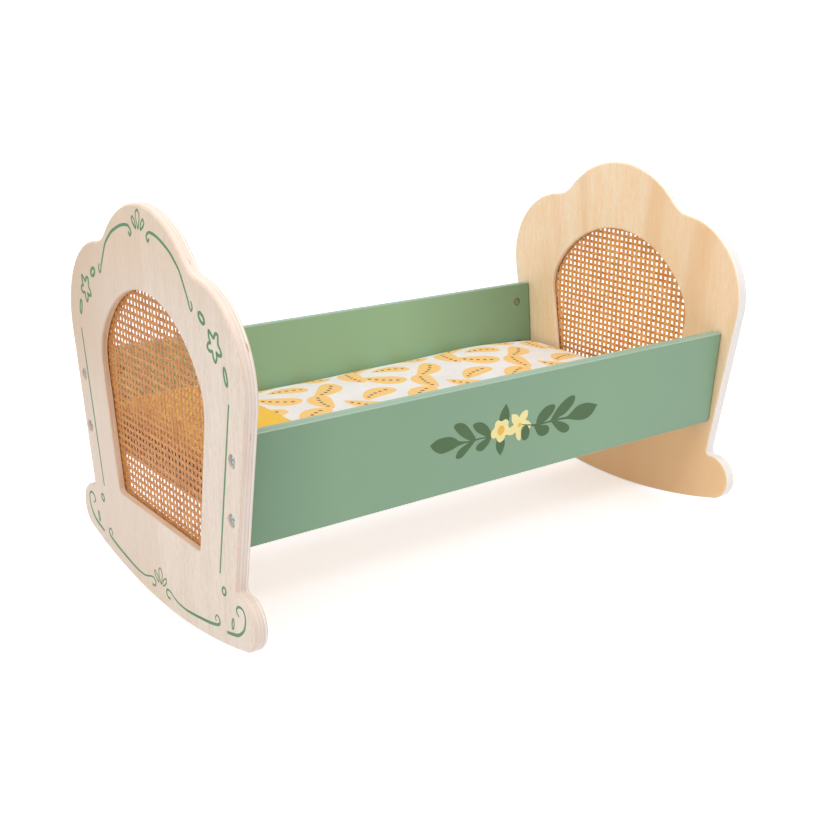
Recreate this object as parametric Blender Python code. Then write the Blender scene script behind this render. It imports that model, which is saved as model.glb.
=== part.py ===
"""Doll cradle with scalloped plywood end panels on curved rockers.

Each end panel is two glued layers with cane webbing held in a rebate between them. Two painted
side boards lean outwards and are drawn up to the end panels by connector bolts and barrel nuts.
The base board slides in grooves in the side boards, and the bedding lies loose on it.

Metres, +Z up. X runs along the cradle from the head end (-X) to the foot end (+X) and -Y is the
front. The origin is on the floor under the middle of the cradle.
"""

import math

import bmesh
import bpy
from mathutils import Matrix

# Whole cradle
CRADLE_LENGTH = 0.500
SEAT_GAP = 0.0003
CUT_OVERRUN = 0.004
JOINED_DISTANCE = 0.00003

# End panel outline, measured from the middle and up from the floor
END_THICKNESS = 0.011
END_HEIGHT = 0.317
ROCKER_RADIUS = 0.548
FOOT_LOBE_RADIUS = 0.0207
FOOT_LOBE_OUT = 0.1341
FOOT_NOTCH_RADIUS = 0.0035
SIDE_LOBE_RADIUS = 0.0710
SIDE_LOBE_OUT = 0.0822
SIDE_LOBE_UP = 0.2066
SIDE_TAPER_DEG = 10.4
TOP_LOBE_RADIUS = 0.0941
TOP_NOTCH_RADIUS = 0.030
END_EDGE_RADIUS = 0.0024

# Arched window in the end panel
WINDOW_SILL_UP = 0.0708
WINDOW_SILL_WIDTH = 0.1469
WINDOW_TOP_UP = 0.2523
WINDOW_ARCH_RADIUS = 0.0989
WINDOW_FLARE_DEG = 9.3
WINDOW_CORNER_RADIUS = 0.005
WINDOW_SHOULDER_RADIUS = 0.0446
WINDOW_EDGE_RADIUS = 0.0015

# Cane webbing and the rebate that traps its edge
CANE_THICKNESS = 0.0012
REBATE_WIDTH = 0.007
CANE_PITCH = 0.0135
CANE_STRAND_WIDTH = 0.0050
CANE_EDGE_REACH = 0.0020

# Side boards, placed by the middle of their top edge
SIDE_THICKNESS = 0.009
SIDE_HEIGHT = 0.0868
SIDE_CANT_DEG = 5.2
SIDE_TOP_OUT = 0.1325
SIDE_TOP_UP = 0.1777
SIDE_EDGE_RADIUS = 0.0024

# Base board and its grooves
BASE_THICKNESS = 0.004
BASE_ABOVE_SIDE_EDGE = 0.0085
GROOVE_DEPTH = 0.004
BASE_END_CLEARANCE = 0.0005

# Connector bolts and barrel nuts
BOLT_DOWN_UPPER = 0.019
BOLT_SPACING = 0.045
BOLT_DIAMETER = 0.005
BOLT_HEAD_DIAMETER = 0.0096
BOLT_HEAD_HEIGHT = 0.0026
BOLT_HEAD_CROWN = 0.0008
BOLT_TIP_CHAMFER = 0.0008
BOLT_PAST_NUT = 0.0015
COUNTERBORE_DEPTH = 0.0034
RECESS_SPAN = 0.0056
RECESS_WIDTH = 0.0012
RECESS_DEPTH = 0.0018
BORE_RUNOUT = 0.001
NUT_DIAMETER = 0.008
NUT_INSET = 0.0009
NUT_FROM_SIDE_END = 0.018
NUT_SLOT_WIDTH = 0.0014
NUT_SLOT_DEPTH = 0.0011

# Bedding
MATTRESS_THICKNESS = 0.0065
BEDDING_SIDE_CLEARANCE = 0.0018
BEDDING_END_CLEARANCE = 0.0030
DUVET_THICKNESS = 0.0145
DUVET_PRESSED_THICKNESS = 0.0068
DUVET_RAMP_SHARE = 0.5
PILLOW_RAMP_CLEARANCE = 0.003
PILLOW_LENGTH = 0.095
PILLOW_WIDTH = 0.229
PILLOW_THICKNESS = 0.029
MATTRESS_DRAW_SHARE = 0.004
DUVET_DRAW_SHARE = 0.008
PILLOW_DRAW_SHARE = 0.045
SEAM_HEIGHT_SHARE = 0.42
UNDERSIDE_FILL_SHARE = 1.7

# Facets
ROCKER_FACETS = 9
LOBE_STEPS = 9
TOP_LOBE_STEPS = 6
NOTCH_STEPS = 4
FOOT_NOTCH_STEPS = 3
WINDOW_CORNER_STEPS = 2
WINDOW_SHOULDER_STEPS = 4
WINDOW_ARCH_STEPS = 7
EDGE_STEPS = 2
BOLT_SIDES = 16
PAD_COLUMNS = 16
PAD_ROWS = 12
DOME_POWER = 6
SMOOTH_LIMIT_DEG = 35.0

QUARTER_TURN = math.pi / 2
HEAD_END = -1
FOOT_END = 1
FRONT = -1
BACK = 1

# Sizes that follow from the ones above
LAYER_THICKNESS = (END_THICKNESS - SEAT_GAP) / 2
INNER_LAYER_DEPTH = LAYER_THICKNESS + SEAT_GAP
REBATE_DEPTH = CANE_THICKNESS + SEAT_GAP
SIDE_LENGTH = CRADLE_LENGTH - 2 * (END_THICKNESS + SEAT_GAP)
SIDE_CANT = math.radians(SIDE_CANT_DEG)
BOLT_DOWNS = {"upper": BOLT_DOWN_UPPER, "lower": BOLT_DOWN_UPPER + BOLT_SPACING}
NUT_LENGTH = SIDE_THICKNESS - 2 * NUT_INSET
NUT_DEPTH = END_THICKNESS + SEAT_GAP + NUT_FROM_SIDE_END
BOLT_SEAT_DEPTH = COUNTERBORE_DEPTH - SEAT_GAP
BOLT_LENGTH = NUT_DEPTH - BOLT_SEAT_DEPTH + NUT_DIAMETER / 2 + BOLT_PAST_NUT


def polar(centre, radius, angle):
    """Point at a distance and bearing from a centre."""
    return (centre[0] + radius * math.cos(angle), centre[1] + radius * math.sin(angle))


def bearing(start, end):
    """Direction from one point to another."""
    return math.atan2(end[1] - start[1], end[0] - start[0])


def arc(centre, radius, start, end, steps):
    """Points along an arc, both ends included."""
    return [polar(centre, radius, start + (end - start) * i / steps) for i in range(steps + 1)]


def meet_circles(first, first_radius, second, second_radius):
    """Where two circles cross, on the right of the way from the first to the second."""
    apart = math.dist(first, second)
    along = (apart ** 2 + first_radius ** 2 - second_radius ** 2) / (2 * apart)
    turn = math.acos(along / first_radius)
    return polar(first, first_radius, bearing(first, second) - turn)


def meet_line(point, angle, centre, radius, side):
    """Where a line is at a distance from a centre: side -1 is the nearer place, 1 the farther."""
    across = (centre[0] - point[0], centre[1] - point[1])
    along = across[0] * math.cos(angle) + across[1] * math.sin(angle)
    off_squared = across[0] ** 2 + across[1] ** 2 - along ** 2
    return polar(point, along + side * math.sqrt(radius ** 2 - off_squared), angle)


def mirrored(half):
    """Whole outline from its right half, which ends on the middle line."""
    return half + [(-y, z) for y, z in reversed(half[:-1])]


def end_outline(grow=0.0):
    """Outline (y, z) of an end panel, moved outwards by grow.

    The foot lobe runs tangent into the rocker's curve. The tapered edge is tangent to the side
    lobe. Hollow fillets join the tapered edge to the foot, and the side lobe to the top lobe.
    """
    sweep = math.asin(FOOT_LOBE_OUT / (ROCKER_RADIUS - FOOT_LOBE_RADIUS))
    half_facet = sweep / (2 * ROCKER_FACETS + 1)
    taper = math.radians(SIDE_TAPER_DEG)
    rocker = (0.0, ROCKER_RADIUS * math.cos(half_facet))
    foot = polar(rocker, ROCKER_RADIUS - FOOT_LOBE_RADIUS, sweep - QUARTER_TURN)
    side = (SIDE_LOBE_OUT, SIDE_LOBE_UP)
    top = (0.0, END_HEIGHT - TOP_LOBE_RADIUS)
    beside_edge = polar(side, SIDE_LOBE_RADIUS + FOOT_NOTCH_RADIUS, -taper)
    foot_notch = meet_line(beside_edge, -taper - QUARTER_TURN, foot,
                           FOOT_LOBE_RADIUS + FOOT_NOTCH_RADIUS, -1)
    top_notch = meet_circles(side, SIDE_LOBE_RADIUS + TOP_NOTCH_RADIUS,
                             top, TOP_LOBE_RADIUS + TOP_NOTCH_RADIUS)
    half = arc(rocker, ROCKER_RADIUS + grow, half_facet - QUARTER_TURN,
               sweep - QUARTER_TURN, ROCKER_FACETS)
    half += arc(foot, FOOT_LOBE_RADIUS + grow, sweep - QUARTER_TURN,
                bearing(foot, foot_notch), LOBE_STEPS)[1:]
    half += arc(foot_notch, FOOT_NOTCH_RADIUS - grow, bearing(foot_notch, foot),
                -math.pi - taper, FOOT_NOTCH_STEPS)[1:]
    half += arc(side, SIDE_LOBE_RADIUS + grow, -taper, bearing(side, top_notch), LOBE_STEPS)
    half += arc(top_notch, TOP_NOTCH_RADIUS - grow, bearing(top_notch, side),
                bearing(top_notch, top), NOTCH_STEPS)[1:]
    half += arc(top, TOP_LOBE_RADIUS + grow, bearing(top, top_notch),
                QUARTER_TURN, TOP_LOBE_STEPS)[1:]
    return mirrored(half)


def window_outline(grow=0.0):
    """Outline (y, z) of the arched window, moved outwards by grow."""
    flare = math.radians(WINDOW_FLARE_DEG)
    arch = (0.0, WINDOW_TOP_UP - WINDOW_ARCH_RADIUS)
    sill_end = WINDOW_SILL_WIDTH / 2
    corner = (sill_end + WINDOW_CORNER_RADIUS * (math.tan(flare) - 1 / math.cos(flare)),
              WINDOW_SILL_UP + WINDOW_CORNER_RADIUS)
    inside_edge = (sill_end - WINDOW_SHOULDER_RADIUS / math.cos(flare), WINDOW_SILL_UP)
    shoulder = meet_line(inside_edge, QUARTER_TURN - flare, arch,
                         WINDOW_ARCH_RADIUS - WINDOW_SHOULDER_RADIUS, 1)
    half = [(0.0, WINDOW_SILL_UP - grow)]
    half += arc(corner, WINDOW_CORNER_RADIUS + grow, -QUARTER_TURN, -flare, WINDOW_CORNER_STEPS)
    half += arc(shoulder, WINDOW_SHOULDER_RADIUS + grow, -flare, bearing(arch, shoulder),
                WINDOW_SHOULDER_STEPS)
    half += arc(arch, WINDOW_ARCH_RADIUS + grow, bearing(arch, shoulder),
                QUARTER_TURN, WINDOW_ARCH_STEPS)[1:]
    return mirrored(half)[:-1]


def contains(outline, point):
    """Whether a point lies inside a closed outline."""
    inside = False
    for (y0, z0), (y1, z1) in zip(outline, outline[1:] + outline[:1]):
        if (z0 > point[1]) != (z1 > point[1]):
            if point[0] < y0 + (y1 - y0) * (point[1] - z0) / (z1 - z0):
                inside = not inside
    return inside


def side_point(down, inward):
    """Place (y, z) in the back side board: down from its top edge, inward from its middle."""
    return (SIDE_TOP_OUT - down * math.sin(SIDE_CANT) - inward * math.cos(SIDE_CANT),
            SIDE_TOP_UP - down * math.cos(SIDE_CANT) + inward * math.sin(SIDE_CANT))


def inner_half_width(height):
    """Half the width between the side boards' inner faces at a height above the floor."""
    top = side_point(0.0, SIDE_THICKNESS / 2)
    return top[0] - (top[1] - height) * math.tan(SIDE_CANT)


def new_object(name, mesh, material=None):
    """Put a mesh in the scene as an object."""
    obj = bpy.data.objects.new(name, mesh)
    bpy.context.scene.collection.objects.link(obj)
    if material:
        mesh.materials.clear()
        mesh.materials.append(material)
    return obj


def mesh_from(bm, name):
    """Mesh of a bmesh, with its faces turned outwards and its curves shaded smooth."""
    bmesh.ops.recalc_face_normals(bm, faces=bm.faces)
    mesh = bpy.data.meshes.new(name)
    bm.to_mesh(mesh)
    bm.free()
    mesh.shade_smooth()
    mesh.set_sharp_from_angle(angle=math.radians(SMOOTH_LIMIT_DEG))
    return mesh


def material(name, colour, roughness, metallic=0.0):
    """Principled material of one colour."""
    result = bpy.data.materials.new(name)
    result.use_nodes = True
    shader = result.node_tree.nodes["Principled BSDF"]
    shader.inputs["Base Color"].default_value = (*colour, 1.0)
    shader.inputs["Roughness"].default_value = roughness
    shader.inputs["Metallic"].default_value = metallic
    result.diffuse_color = (*colour, 1.0)
    return result


def cut(target, cutter, operation="DIFFERENCE"):
    """Add a live Boolean to an object and hide its cutter."""
    modifier = target.modifiers.new(cutter.name, "BOOLEAN")
    modifier.object = cutter
    modifier.operation = operation
    modifier.solver = "EXACT"
    cutter.hide_render = True
    cutter.display_type = "WIRE"


def loft(bm, rings):
    """Join rings of (x, y, z) points by quads and return the first and last rings' edges."""
    verts = [[bm.verts.new(point) for point in ring] for ring in rings]
    for near, far in zip(verts, verts[1:]):
        for i in range(len(near)):
            j = (i + 1) % len(near)
            bm.faces.new((near[i], near[j], far[j], far[i]))
    return [[bm.edges.get((ring[i], ring[(i + 1) % len(ring)])) for i in range(len(ring))]
            for ring in (verts[0], verts[-1])]


def cap(bm, edges):
    """Fill the flat region that closed runs of edges enclose, holes left open."""
    bmesh.ops.triangle_fill(bm, edges=edges, use_beauty=True)


def placed(end, depth, outline):
    """Outline as points in an end panel, at a depth inwards from its outer face."""
    x = end * (CRADLE_LENGTH / 2 - depth)
    return [(x, y, z) for y, z in outline]


def rounded_stations(face_depth, inward, radius):
    """Depths and insets that round an edge, from where it starts to the face."""
    stations = []
    for i in range(EDGE_STEPS + 1):
        turn = QUARTER_TURN * i / EDGE_STEPS
        stations.append((face_depth + inward * radius * (1 - math.sin(turn)),
                         radius * (1 - math.cos(turn))))
    return stations


def layer_mesh(name, end, glued_depth, face_depth, rebate):
    """One glued layer of an end panel: outline, window, rounded face edges and cane rebate."""
    inward = 1 if glued_depth > face_depth else -1
    bm = bmesh.new()
    outer_rings = [placed(end, glued_depth, end_outline())]
    outer_rings += [placed(end, depth, end_outline(-inset))
                    for depth, inset in rounded_stations(face_depth, inward, END_EDGE_RADIUS)]
    hole_rings = [placed(end, glued_depth, window_outline(REBATE_WIDTH if rebate else 0.0))]
    if rebate:
        floor = glued_depth - inward * REBATE_DEPTH
        hole_rings.append(placed(end, floor, window_outline(REBATE_WIDTH)))
        hole_rings.append(placed(end, floor, window_outline()))
    hole_rings += [placed(end, depth, window_outline(inset))
                   for depth, inset in rounded_stations(face_depth, inward, WINDOW_EDGE_RADIUS)]
    outer_ends = loft(bm, outer_rings)
    hole_ends = loft(bm, hole_rings)
    cap(bm, outer_ends[0] + hole_ends[0])
    cap(bm, outer_ends[1] + hole_ends[1])
    return mesh_from(bm, name)


def prism(name, end, near_depth, far_depth, outline):
    """Solid between two depths in an end panel."""
    bm = bmesh.new()
    ends = loft(bm, [placed(end, near_depth, outline), placed(end, far_depth, outline)])
    cap(bm, ends[0])
    cap(bm, ends[1])
    return mesh_from(bm, name)


def box(bm, low, high):
    """Add a box between two corners."""
    size = [b - a for a, b in zip(low, high)]
    centre = [(a + b) / 2 for a, b in zip(low, high)]
    matrix = Matrix.Translation(centre) @ Matrix.Diagonal((*size, 1.0))
    return bmesh.ops.create_cube(bm, size=1.0, matrix=matrix)["verts"]


def turned_mesh(name, profile):
    """Mesh of a profile of (radius, height) points turned round Z, its ends on the axis."""
    bm = bmesh.new()
    verts = [bm.verts.new((radius, 0.0, height)) for radius, height in profile]
    edges = [bm.edges.new(pair) for pair in zip(verts, verts[1:])]
    bmesh.ops.spin(bm, geom=verts + edges, cent=(0.0, 0.0, 0.0), axis=(0.0, 0.0, 1.0),
                   angle=4 * QUARTER_TURN, steps=BOLT_SIDES, use_merge=True)
    bmesh.ops.remove_doubles(bm, verts=bm.verts, dist=JOINED_DISTANCE)
    return mesh_from(bm, name)


def merged(name, meshes_and_places):
    """One mesh of several separate meshes, each at its own place."""
    bm = bmesh.new()
    for mesh, place in meshes_and_places:
        before = set(bm.verts)
        bm.from_mesh(mesh)
        added = [vert for vert in bm.verts if vert not in before]
        bmesh.ops.transform(bm, matrix=place, verts=added)
    return mesh_from(bm, name)


def baked(obj):
    """Mesh of an object with its modifiers applied; the object is removed."""
    bpy.context.view_layer.update()
    evaluated = obj.evaluated_get(bpy.context.evaluated_depsgraph_get())
    mesh = bpy.data.meshes.new_from_object(evaluated)
    mesh.name = obj.name
    bpy.data.objects.remove(obj)
    return mesh


def cylinder_profile(radius, low, high):
    """Profile of a plain cylinder between two heights."""
    return [(0.0, low), (radius, low), (radius, high), (0.0, high)]


def axis_matrix(x, y, z, about_x=0.0, about_y=0.0):
    """Place of a turned piece: its local Z turned about X and then about Y."""
    return Matrix.Translation((x, y, z)) @ Matrix.Rotation(about_y, 4, "Y") @ \
        Matrix.Rotation(about_x, 4, "X")


def bolt_places():
    """Name, side and (y, z) of the four bolts of an end panel."""
    places = []
    for side, side_name in ((FRONT, "front"), (BACK, "back")):
        for level, down in BOLT_DOWNS.items():
            y, z = side_point(down, 0.0)
            places.append((f"{side_name}_{level}", side, side * y, z))
    return places


def bolt_way_cutter(end, name):
    """Counterbores and bores of the four bolts of one end, from its outer face inwards."""
    deep = BOLT_SEAT_DEPTH + BOLT_LENGTH + BORE_RUNOUT
    bore = BOLT_DIAMETER / 2 + SEAT_GAP
    wide = BOLT_HEAD_DIAMETER / 2 + SEAT_GAP
    profile = [(0.0, -deep), (bore, -deep), (bore, -COUNTERBORE_DEPTH),
               (wide, -COUNTERBORE_DEPTH), (wide, CUT_OVERRUN), (0.0, CUT_OVERRUN)]
    shape = turned_mesh(f"{name}_shape", profile)
    x = end * CRADLE_LENGTH / 2
    places = [(shape, axis_matrix(x, y, z, about_y=end * QUARTER_TURN))
              for _, _, y, z in bolt_places()]
    return new_object(name, merged(name, places))


def nut_turn(side):
    """Turn about X that points a barrel nut's axis square to its side board, inwards."""
    return side * (QUARTER_TURN - SIDE_CANT)


def nut_hole_cutter(side, name):
    """Blind cross bores for the four barrel nuts of one side board."""
    radius = NUT_DIAMETER / 2 + SEAT_GAP
    shape = turned_mesh(f"{name}_shape", cylinder_profile(
        radius, -NUT_LENGTH / 2 - SEAT_GAP, SIDE_THICKNESS / 2 + CUT_OVERRUN))
    places = []
    for end in (HEAD_END, FOOT_END):
        x = end * (CRADLE_LENGTH / 2 - NUT_DEPTH)
        for down in BOLT_DOWNS.values():
            y, z = side_point(down, 0.0)
            places.append((shape, axis_matrix(x, side * y, z, about_x=nut_turn(side))))
    return new_object(name, merged(name, places))


def base_sizes():
    """Underside height, top height and half width of the base board."""
    edge = side_point(SIDE_HEIGHT, SIDE_THICKNESS / 2)
    underside = edge[1] + BASE_ABOVE_SIDE_EDGE
    top = underside + BASE_THICKNESS
    return underside, top, inner_half_width((underside + top) / 2) + GROOVE_DEPTH


def groove_cutter(name):
    """Slot that both side boards' grooves are cut from, a gap wider than the base board."""
    underside, top, half_width = base_sizes()
    bm = bmesh.new()
    reach = SIDE_LENGTH / 2 + CUT_OVERRUN
    box(bm, (-reach, -half_width - SEAT_GAP, underside - SEAT_GAP),
        (reach, half_width + SEAT_GAP, top + SEAT_GAP))
    return new_object(name, mesh_from(bm, name))


def base_board(paint):
    """Thin bottom board whose long edges lie in the grooves."""
    underside, top, half_width = base_sizes()
    bm = bmesh.new()
    reach = SIDE_LENGTH / 2 - BASE_END_CLEARANCE
    box(bm, (-reach, -half_width, underside), (reach, half_width, top))
    return new_object("base_board", mesh_from(bm, "base_board"), paint)


def side_panel(side, name, paint, cutters):
    """Side board with rounded edges, leaning outwards, cut by its grooves and bores."""
    bm = bmesh.new()
    box(bm, (-SIDE_LENGTH / 2, -SIDE_THICKNESS / 2, -SIDE_HEIGHT / 2),
        (SIDE_LENGTH / 2, SIDE_THICKNESS / 2, SIDE_HEIGHT / 2))
    bmesh.ops.bevel(bm, geom=bm.edges[:], offset=SIDE_EDGE_RADIUS, offset_type="OFFSET",
                    affect="EDGES", segments=EDGE_STEPS, profile=0.5, material=-1,
                    clamp_overlap=True)
    obj = new_object(name, mesh_from(bm, name), paint)
    y, z = side_point(SIDE_HEIGHT / 2, 0.0)
    obj.location = (0.0, side * y, z)
    obj.rotation_euler = (-side * SIDE_CANT, 0.0, 0.0)
    for cutter in cutters:
        cut(obj, cutter)
    return obj


def cane_gap_cutter(end, name):
    """Square gaps between the strands, clipped by the window."""
    depth = INNER_LAYER_DEPTH
    window = window_outline()
    kept = window_outline(CANE_EDGE_REACH)
    half_gap = (CANE_PITCH - CANE_STRAND_WIDTH) / 2
    near = end * (CRADLE_LENGTH / 2 - depth + CUT_OVERRUN)
    far = end * (CRADLE_LENGTH / 2 - depth - CUT_OVERRUN)
    centre_up = (WINDOW_SILL_UP + WINDOW_TOP_UP) / 2
    reach = math.ceil((WINDOW_TOP_UP - WINDOW_SILL_UP) / (2 * CANE_PITCH))
    bm = bmesh.new()
    for column in range(-reach, reach + 1):
        for row in range(-reach, reach + 1):
            y = column * CANE_PITCH
            z = centre_up + row * CANE_PITCH
            if contains(kept, (y, z)):
                box(bm, (min(near, far), y - half_gap, z - half_gap),
                    (max(near, far), y + half_gap, z + half_gap))
    cutter = new_object(name, mesh_from(bm, name))
    clip = new_object(f"{name}_clip", prism(f"{name}_clip", end, depth - 2 * CUT_OVERRUN,
                                            depth + 2 * CUT_OVERRUN, window))
    cut(cutter, clip, "INTERSECT")
    return cutter


def cane_panel(end, name, finish):
    """Flat net of crossing strands with its edge trapped in the rebate."""
    depth = INNER_LAYER_DEPTH
    sheet = prism(name, end, depth, depth + CANE_THICKNESS,
                  window_outline(REBATE_WIDTH - SEAT_GAP))
    obj = new_object(name, sheet, finish)
    cut(obj, cane_gap_cutter(end, f"{name}_gaps"))
    return obj


def bolt_mesh(steel):
    """Connector bolt with a low crowned head and a cross recess, its seat at local zero."""
    radius = BOLT_DIAMETER / 2
    head = BOLT_HEAD_DIAMETER / 2
    profile = [(0.0, -BOLT_LENGTH), (radius - BOLT_TIP_CHAMFER, -BOLT_LENGTH),
               (radius, -BOLT_LENGTH + BOLT_TIP_CHAMFER), (radius, 0.0), (head, 0.0),
               (head, BOLT_HEAD_HEIGHT - BOLT_HEAD_CROWN),
               (head - BOLT_HEAD_CROWN, BOLT_HEAD_HEIGHT), (0.0, BOLT_HEAD_HEIGHT)]
    blank = new_object("bolt_blank", turned_mesh("bolt_blank", profile))
    bars = []
    for name, span_x, span_y in (("recess_bar_along", RECESS_SPAN, RECESS_WIDTH),
                                 ("recess_bar_across", RECESS_WIDTH, RECESS_SPAN)):
        bm = bmesh.new()
        box(bm, (-span_x / 2, -span_y / 2, BOLT_HEAD_HEIGHT - RECESS_DEPTH),
            (span_x / 2, span_y / 2, BOLT_HEAD_HEIGHT + CUT_OVERRUN))
        bars.append(new_object(name, mesh_from(bm, name)))
        cut(blank, bars[-1])
    mesh = baked(blank)
    for bar in bars:
        bpy.data.objects.remove(bar)
    mesh.materials.append(steel)
    return mesh


def nut_mesh(steel):
    """Barrel nut with its cross bore and the driver slot in its inner end."""
    blank = new_object("nut_blank", turned_mesh("nut_blank", cylinder_profile(
        NUT_DIAMETER / 2, -NUT_LENGTH / 2, NUT_LENGTH / 2)))
    reach = NUT_DIAMETER / 2 + CUT_OVERRUN
    thread = merged("nut_thread", [(
        turned_mesh("nut_thread_shape",
                    cylinder_profile(BOLT_DIAMETER / 2 + SEAT_GAP, -reach, reach)),
        axis_matrix(0.0, 0.0, 0.0, about_y=QUARTER_TURN))])
    thread_cutter = new_object("nut_thread", thread)
    bm = bmesh.new()
    box(bm, (-reach, -NUT_SLOT_WIDTH / 2, NUT_LENGTH / 2 - NUT_SLOT_DEPTH),
        (reach, NUT_SLOT_WIDTH / 2, NUT_LENGTH / 2 + CUT_OVERRUN))
    slot_cutter = new_object("nut_slot", mesh_from(bm, "nut_slot"))
    cut(blank, thread_cutter)
    cut(blank, slot_cutter)
    mesh = baked(blank)
    bpy.data.objects.remove(thread_cutter)
    bpy.data.objects.remove(slot_cutter)
    mesh.materials.append(steel)
    return mesh


def fasteners(steel):
    """Eight bolts and eight barrel nuts, each its own object."""
    bolt = bolt_mesh(steel)
    nut = nut_mesh(steel)
    for end, end_name in ((HEAD_END, "head"), (FOOT_END, "foot")):
        for place, side, y, z in bolt_places():
            obj = new_object(f"{end_name}_{place}_bolt", bolt)
            obj.location = (end * (CRADLE_LENGTH / 2 - BOLT_SEAT_DEPTH), y, z)
            obj.rotation_euler = (0.0, end * QUARTER_TURN, 0.0)
            obj = new_object(f"{end_name}_{place}_barrel_nut", nut)
            obj.location = (end * (CRADLE_LENGTH / 2 - NUT_DEPTH), y, z)
            obj.rotation_euler = (nut_turn(side), 0.0, 0.0)


def swept_shares(count):
    """Places from -1 to 1 that crowd towards both ends."""
    return [math.sin(QUARTER_TURN * (2 * i / count - 1)) for i in range(count + 1)]


def pad(name, low_x, high_x, half_width, bottom, thickness, draw_share, cloth,
        limit=None, folds=()):
    """Cushion lying flat: a seam round its drawn-in sides, a flat underside and a crowned top.

    limit gives the greatest height of the top at a place along X, and folds are the places
    along X where that limit changes its slope.
    """
    seam = bottom + thickness * SEAM_HEIGHT_SHARE
    middle = (low_x + high_x) / 2
    half_length = (high_x - low_x) / 2
    lengthwise = sorted(swept_shares(PAD_COLUMNS) + [(x - middle) / half_length for x in folds])
    crosswise = swept_shares(PAD_ROWS)
    bm = bmesh.new()

    def point(u, v, top):
        x = middle + half_length * u * (1 - draw_share * (1 - v * v) * u * u)
        y = half_width * v * (1 - draw_share * (1 - u * u) * v * v)
        dome = math.sqrt(max(0.0, (1 - u ** DOME_POWER) * (1 - v ** DOME_POWER)))
        if top:
            z = seam + (bottom + thickness - seam) * dome
            z = min(z, limit(x)) if limit else z
        else:
            z = max(bottom, seam - (seam - bottom) * UNDERSIDE_FILL_SHARE * dome)
        return x, y, z

    columns = len(lengthwise) - 1
    rows = len(crosswise) - 1
    grids = {}
    for top in (True, False):
        for column, u in enumerate(lengthwise):
            for row, v in enumerate(crosswise):
                if top or not (column in (0, columns) or row in (0, rows)):
                    grids[top, column, row] = bm.verts.new(point(u, v, top))
                else:
                    grids[top, column, row] = grids[True, column, row]
    for top in (True, False):
        for column in range(columns):
            for row in range(rows):
                corners = ((column, row), (column + 1, row), (column + 1, row + 1),
                           (column, row + 1))
                bm.faces.new([grids[top, *corner] for corner in corners])
    return new_object(name, mesh_from(bm, name), cloth)


def bedding(plain, printed, yellow):
    """Mattress, duvet and pillow, each resting on the one below."""
    _, base_top, _ = base_sizes()
    reach = SIDE_LENGTH / 2 - BEDDING_END_CLEARANCE
    mattress_bottom = base_top + SEAT_GAP
    half_width = inner_half_width(mattress_bottom) - BEDDING_SIDE_CLEARANCE
    duvet_bottom = mattress_bottom + MATTRESS_THICKNESS + SEAT_GAP
    pressed = duvet_bottom + DUVET_PRESSED_THICKNESS
    pillow_end = PILLOW_LENGTH - reach
    ramp_start = pillow_end + PILLOW_RAMP_CLEARANCE
    ramp_end = ramp_start + (DUVET_THICKNESS - DUVET_PRESSED_THICKNESS) / DUVET_RAMP_SHARE

    def under_pillow(x):
        return pressed + max(0.0, x - ramp_start) * DUVET_RAMP_SHARE

    pad("mattress", -reach, reach, half_width, mattress_bottom, MATTRESS_THICKNESS,
        MATTRESS_DRAW_SHARE, plain)
    half_width = inner_half_width(duvet_bottom) - BEDDING_SIDE_CLEARANCE
    pad("duvet", -reach, reach, half_width, duvet_bottom, DUVET_THICKNESS,
        DUVET_DRAW_SHARE, printed, under_pillow, (ramp_start, ramp_end))
    pad("pillow", -reach, pillow_end, PILLOW_WIDTH / 2, pressed + SEAT_GAP, PILLOW_THICKNESS,
        PILLOW_DRAW_SHARE, yellow)


def end_panel(end, name, birch, cane):
    """Two glued layers and the cane between them; returns the bolt-way cutter."""
    ways = bolt_way_cutter(end, f"{name}_bolt_ways")
    outer = new_object(f"{name}_outer_layer", layer_mesh(
        f"{name}_outer_layer", end, LAYER_THICKNESS, 0.0, False), birch)
    inner = new_object(f"{name}_inner_layer", layer_mesh(
        f"{name}_inner_layer", end, INNER_LAYER_DEPTH, END_THICKNESS, True), birch)
    cut(outer, ways)
    cut(inner, ways)
    cane_panel(end, f"{name}_cane", cane)
    return ways


def main():
    """Clear the scene and build the cradle."""
    for obj in list(bpy.data.objects):
        bpy.data.objects.remove(obj)
    birch = material("birch_plywood", (0.80, 0.67, 0.52), 0.55)
    cane = material("cane_webbing", (0.58, 0.30, 0.13), 0.6)
    green = material("green_paint", (0.26, 0.40, 0.26), 0.5)
    steel = material("zinc_steel", (0.66, 0.68, 0.70), 0.35, 1.0)
    plain = material("plain_cotton", (0.85, 0.82, 0.78), 0.9)
    printed = material("printed_cotton", (0.84, 0.72, 0.52), 0.9)
    yellow = material("yellow_cotton", (0.88, 0.53, 0.08), 0.9)
    head_ways = end_panel(HEAD_END, "head_end", birch, cane)
    foot_ways = end_panel(FOOT_END, "foot_end", birch, cane)
    groove = groove_cutter("base_grooves")
    for side, name in ((FRONT, "front_side_panel"), (BACK, "back_side_panel")):
        nut_holes = nut_hole_cutter(side, f"{name}_nut_holes")
        side_panel(side, name, green, (groove, head_ways, foot_ways, nut_holes))
    base_board(birch)
    fasteners(steel)
    bedding(plain, printed, yellow)


main()
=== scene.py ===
"""Doll cradle in birch ply with cane windows, green boards and cotton bedding."""
import logging
import math
from collections.abc import Callable, Iterable, Sequence
from dataclasses import dataclass, field
from enum import Enum

import bmesh
import bpy
from mathutils import Matrix, Quaternion, Vector, noise
from mathutils.bvhtree import BVHTree


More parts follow.
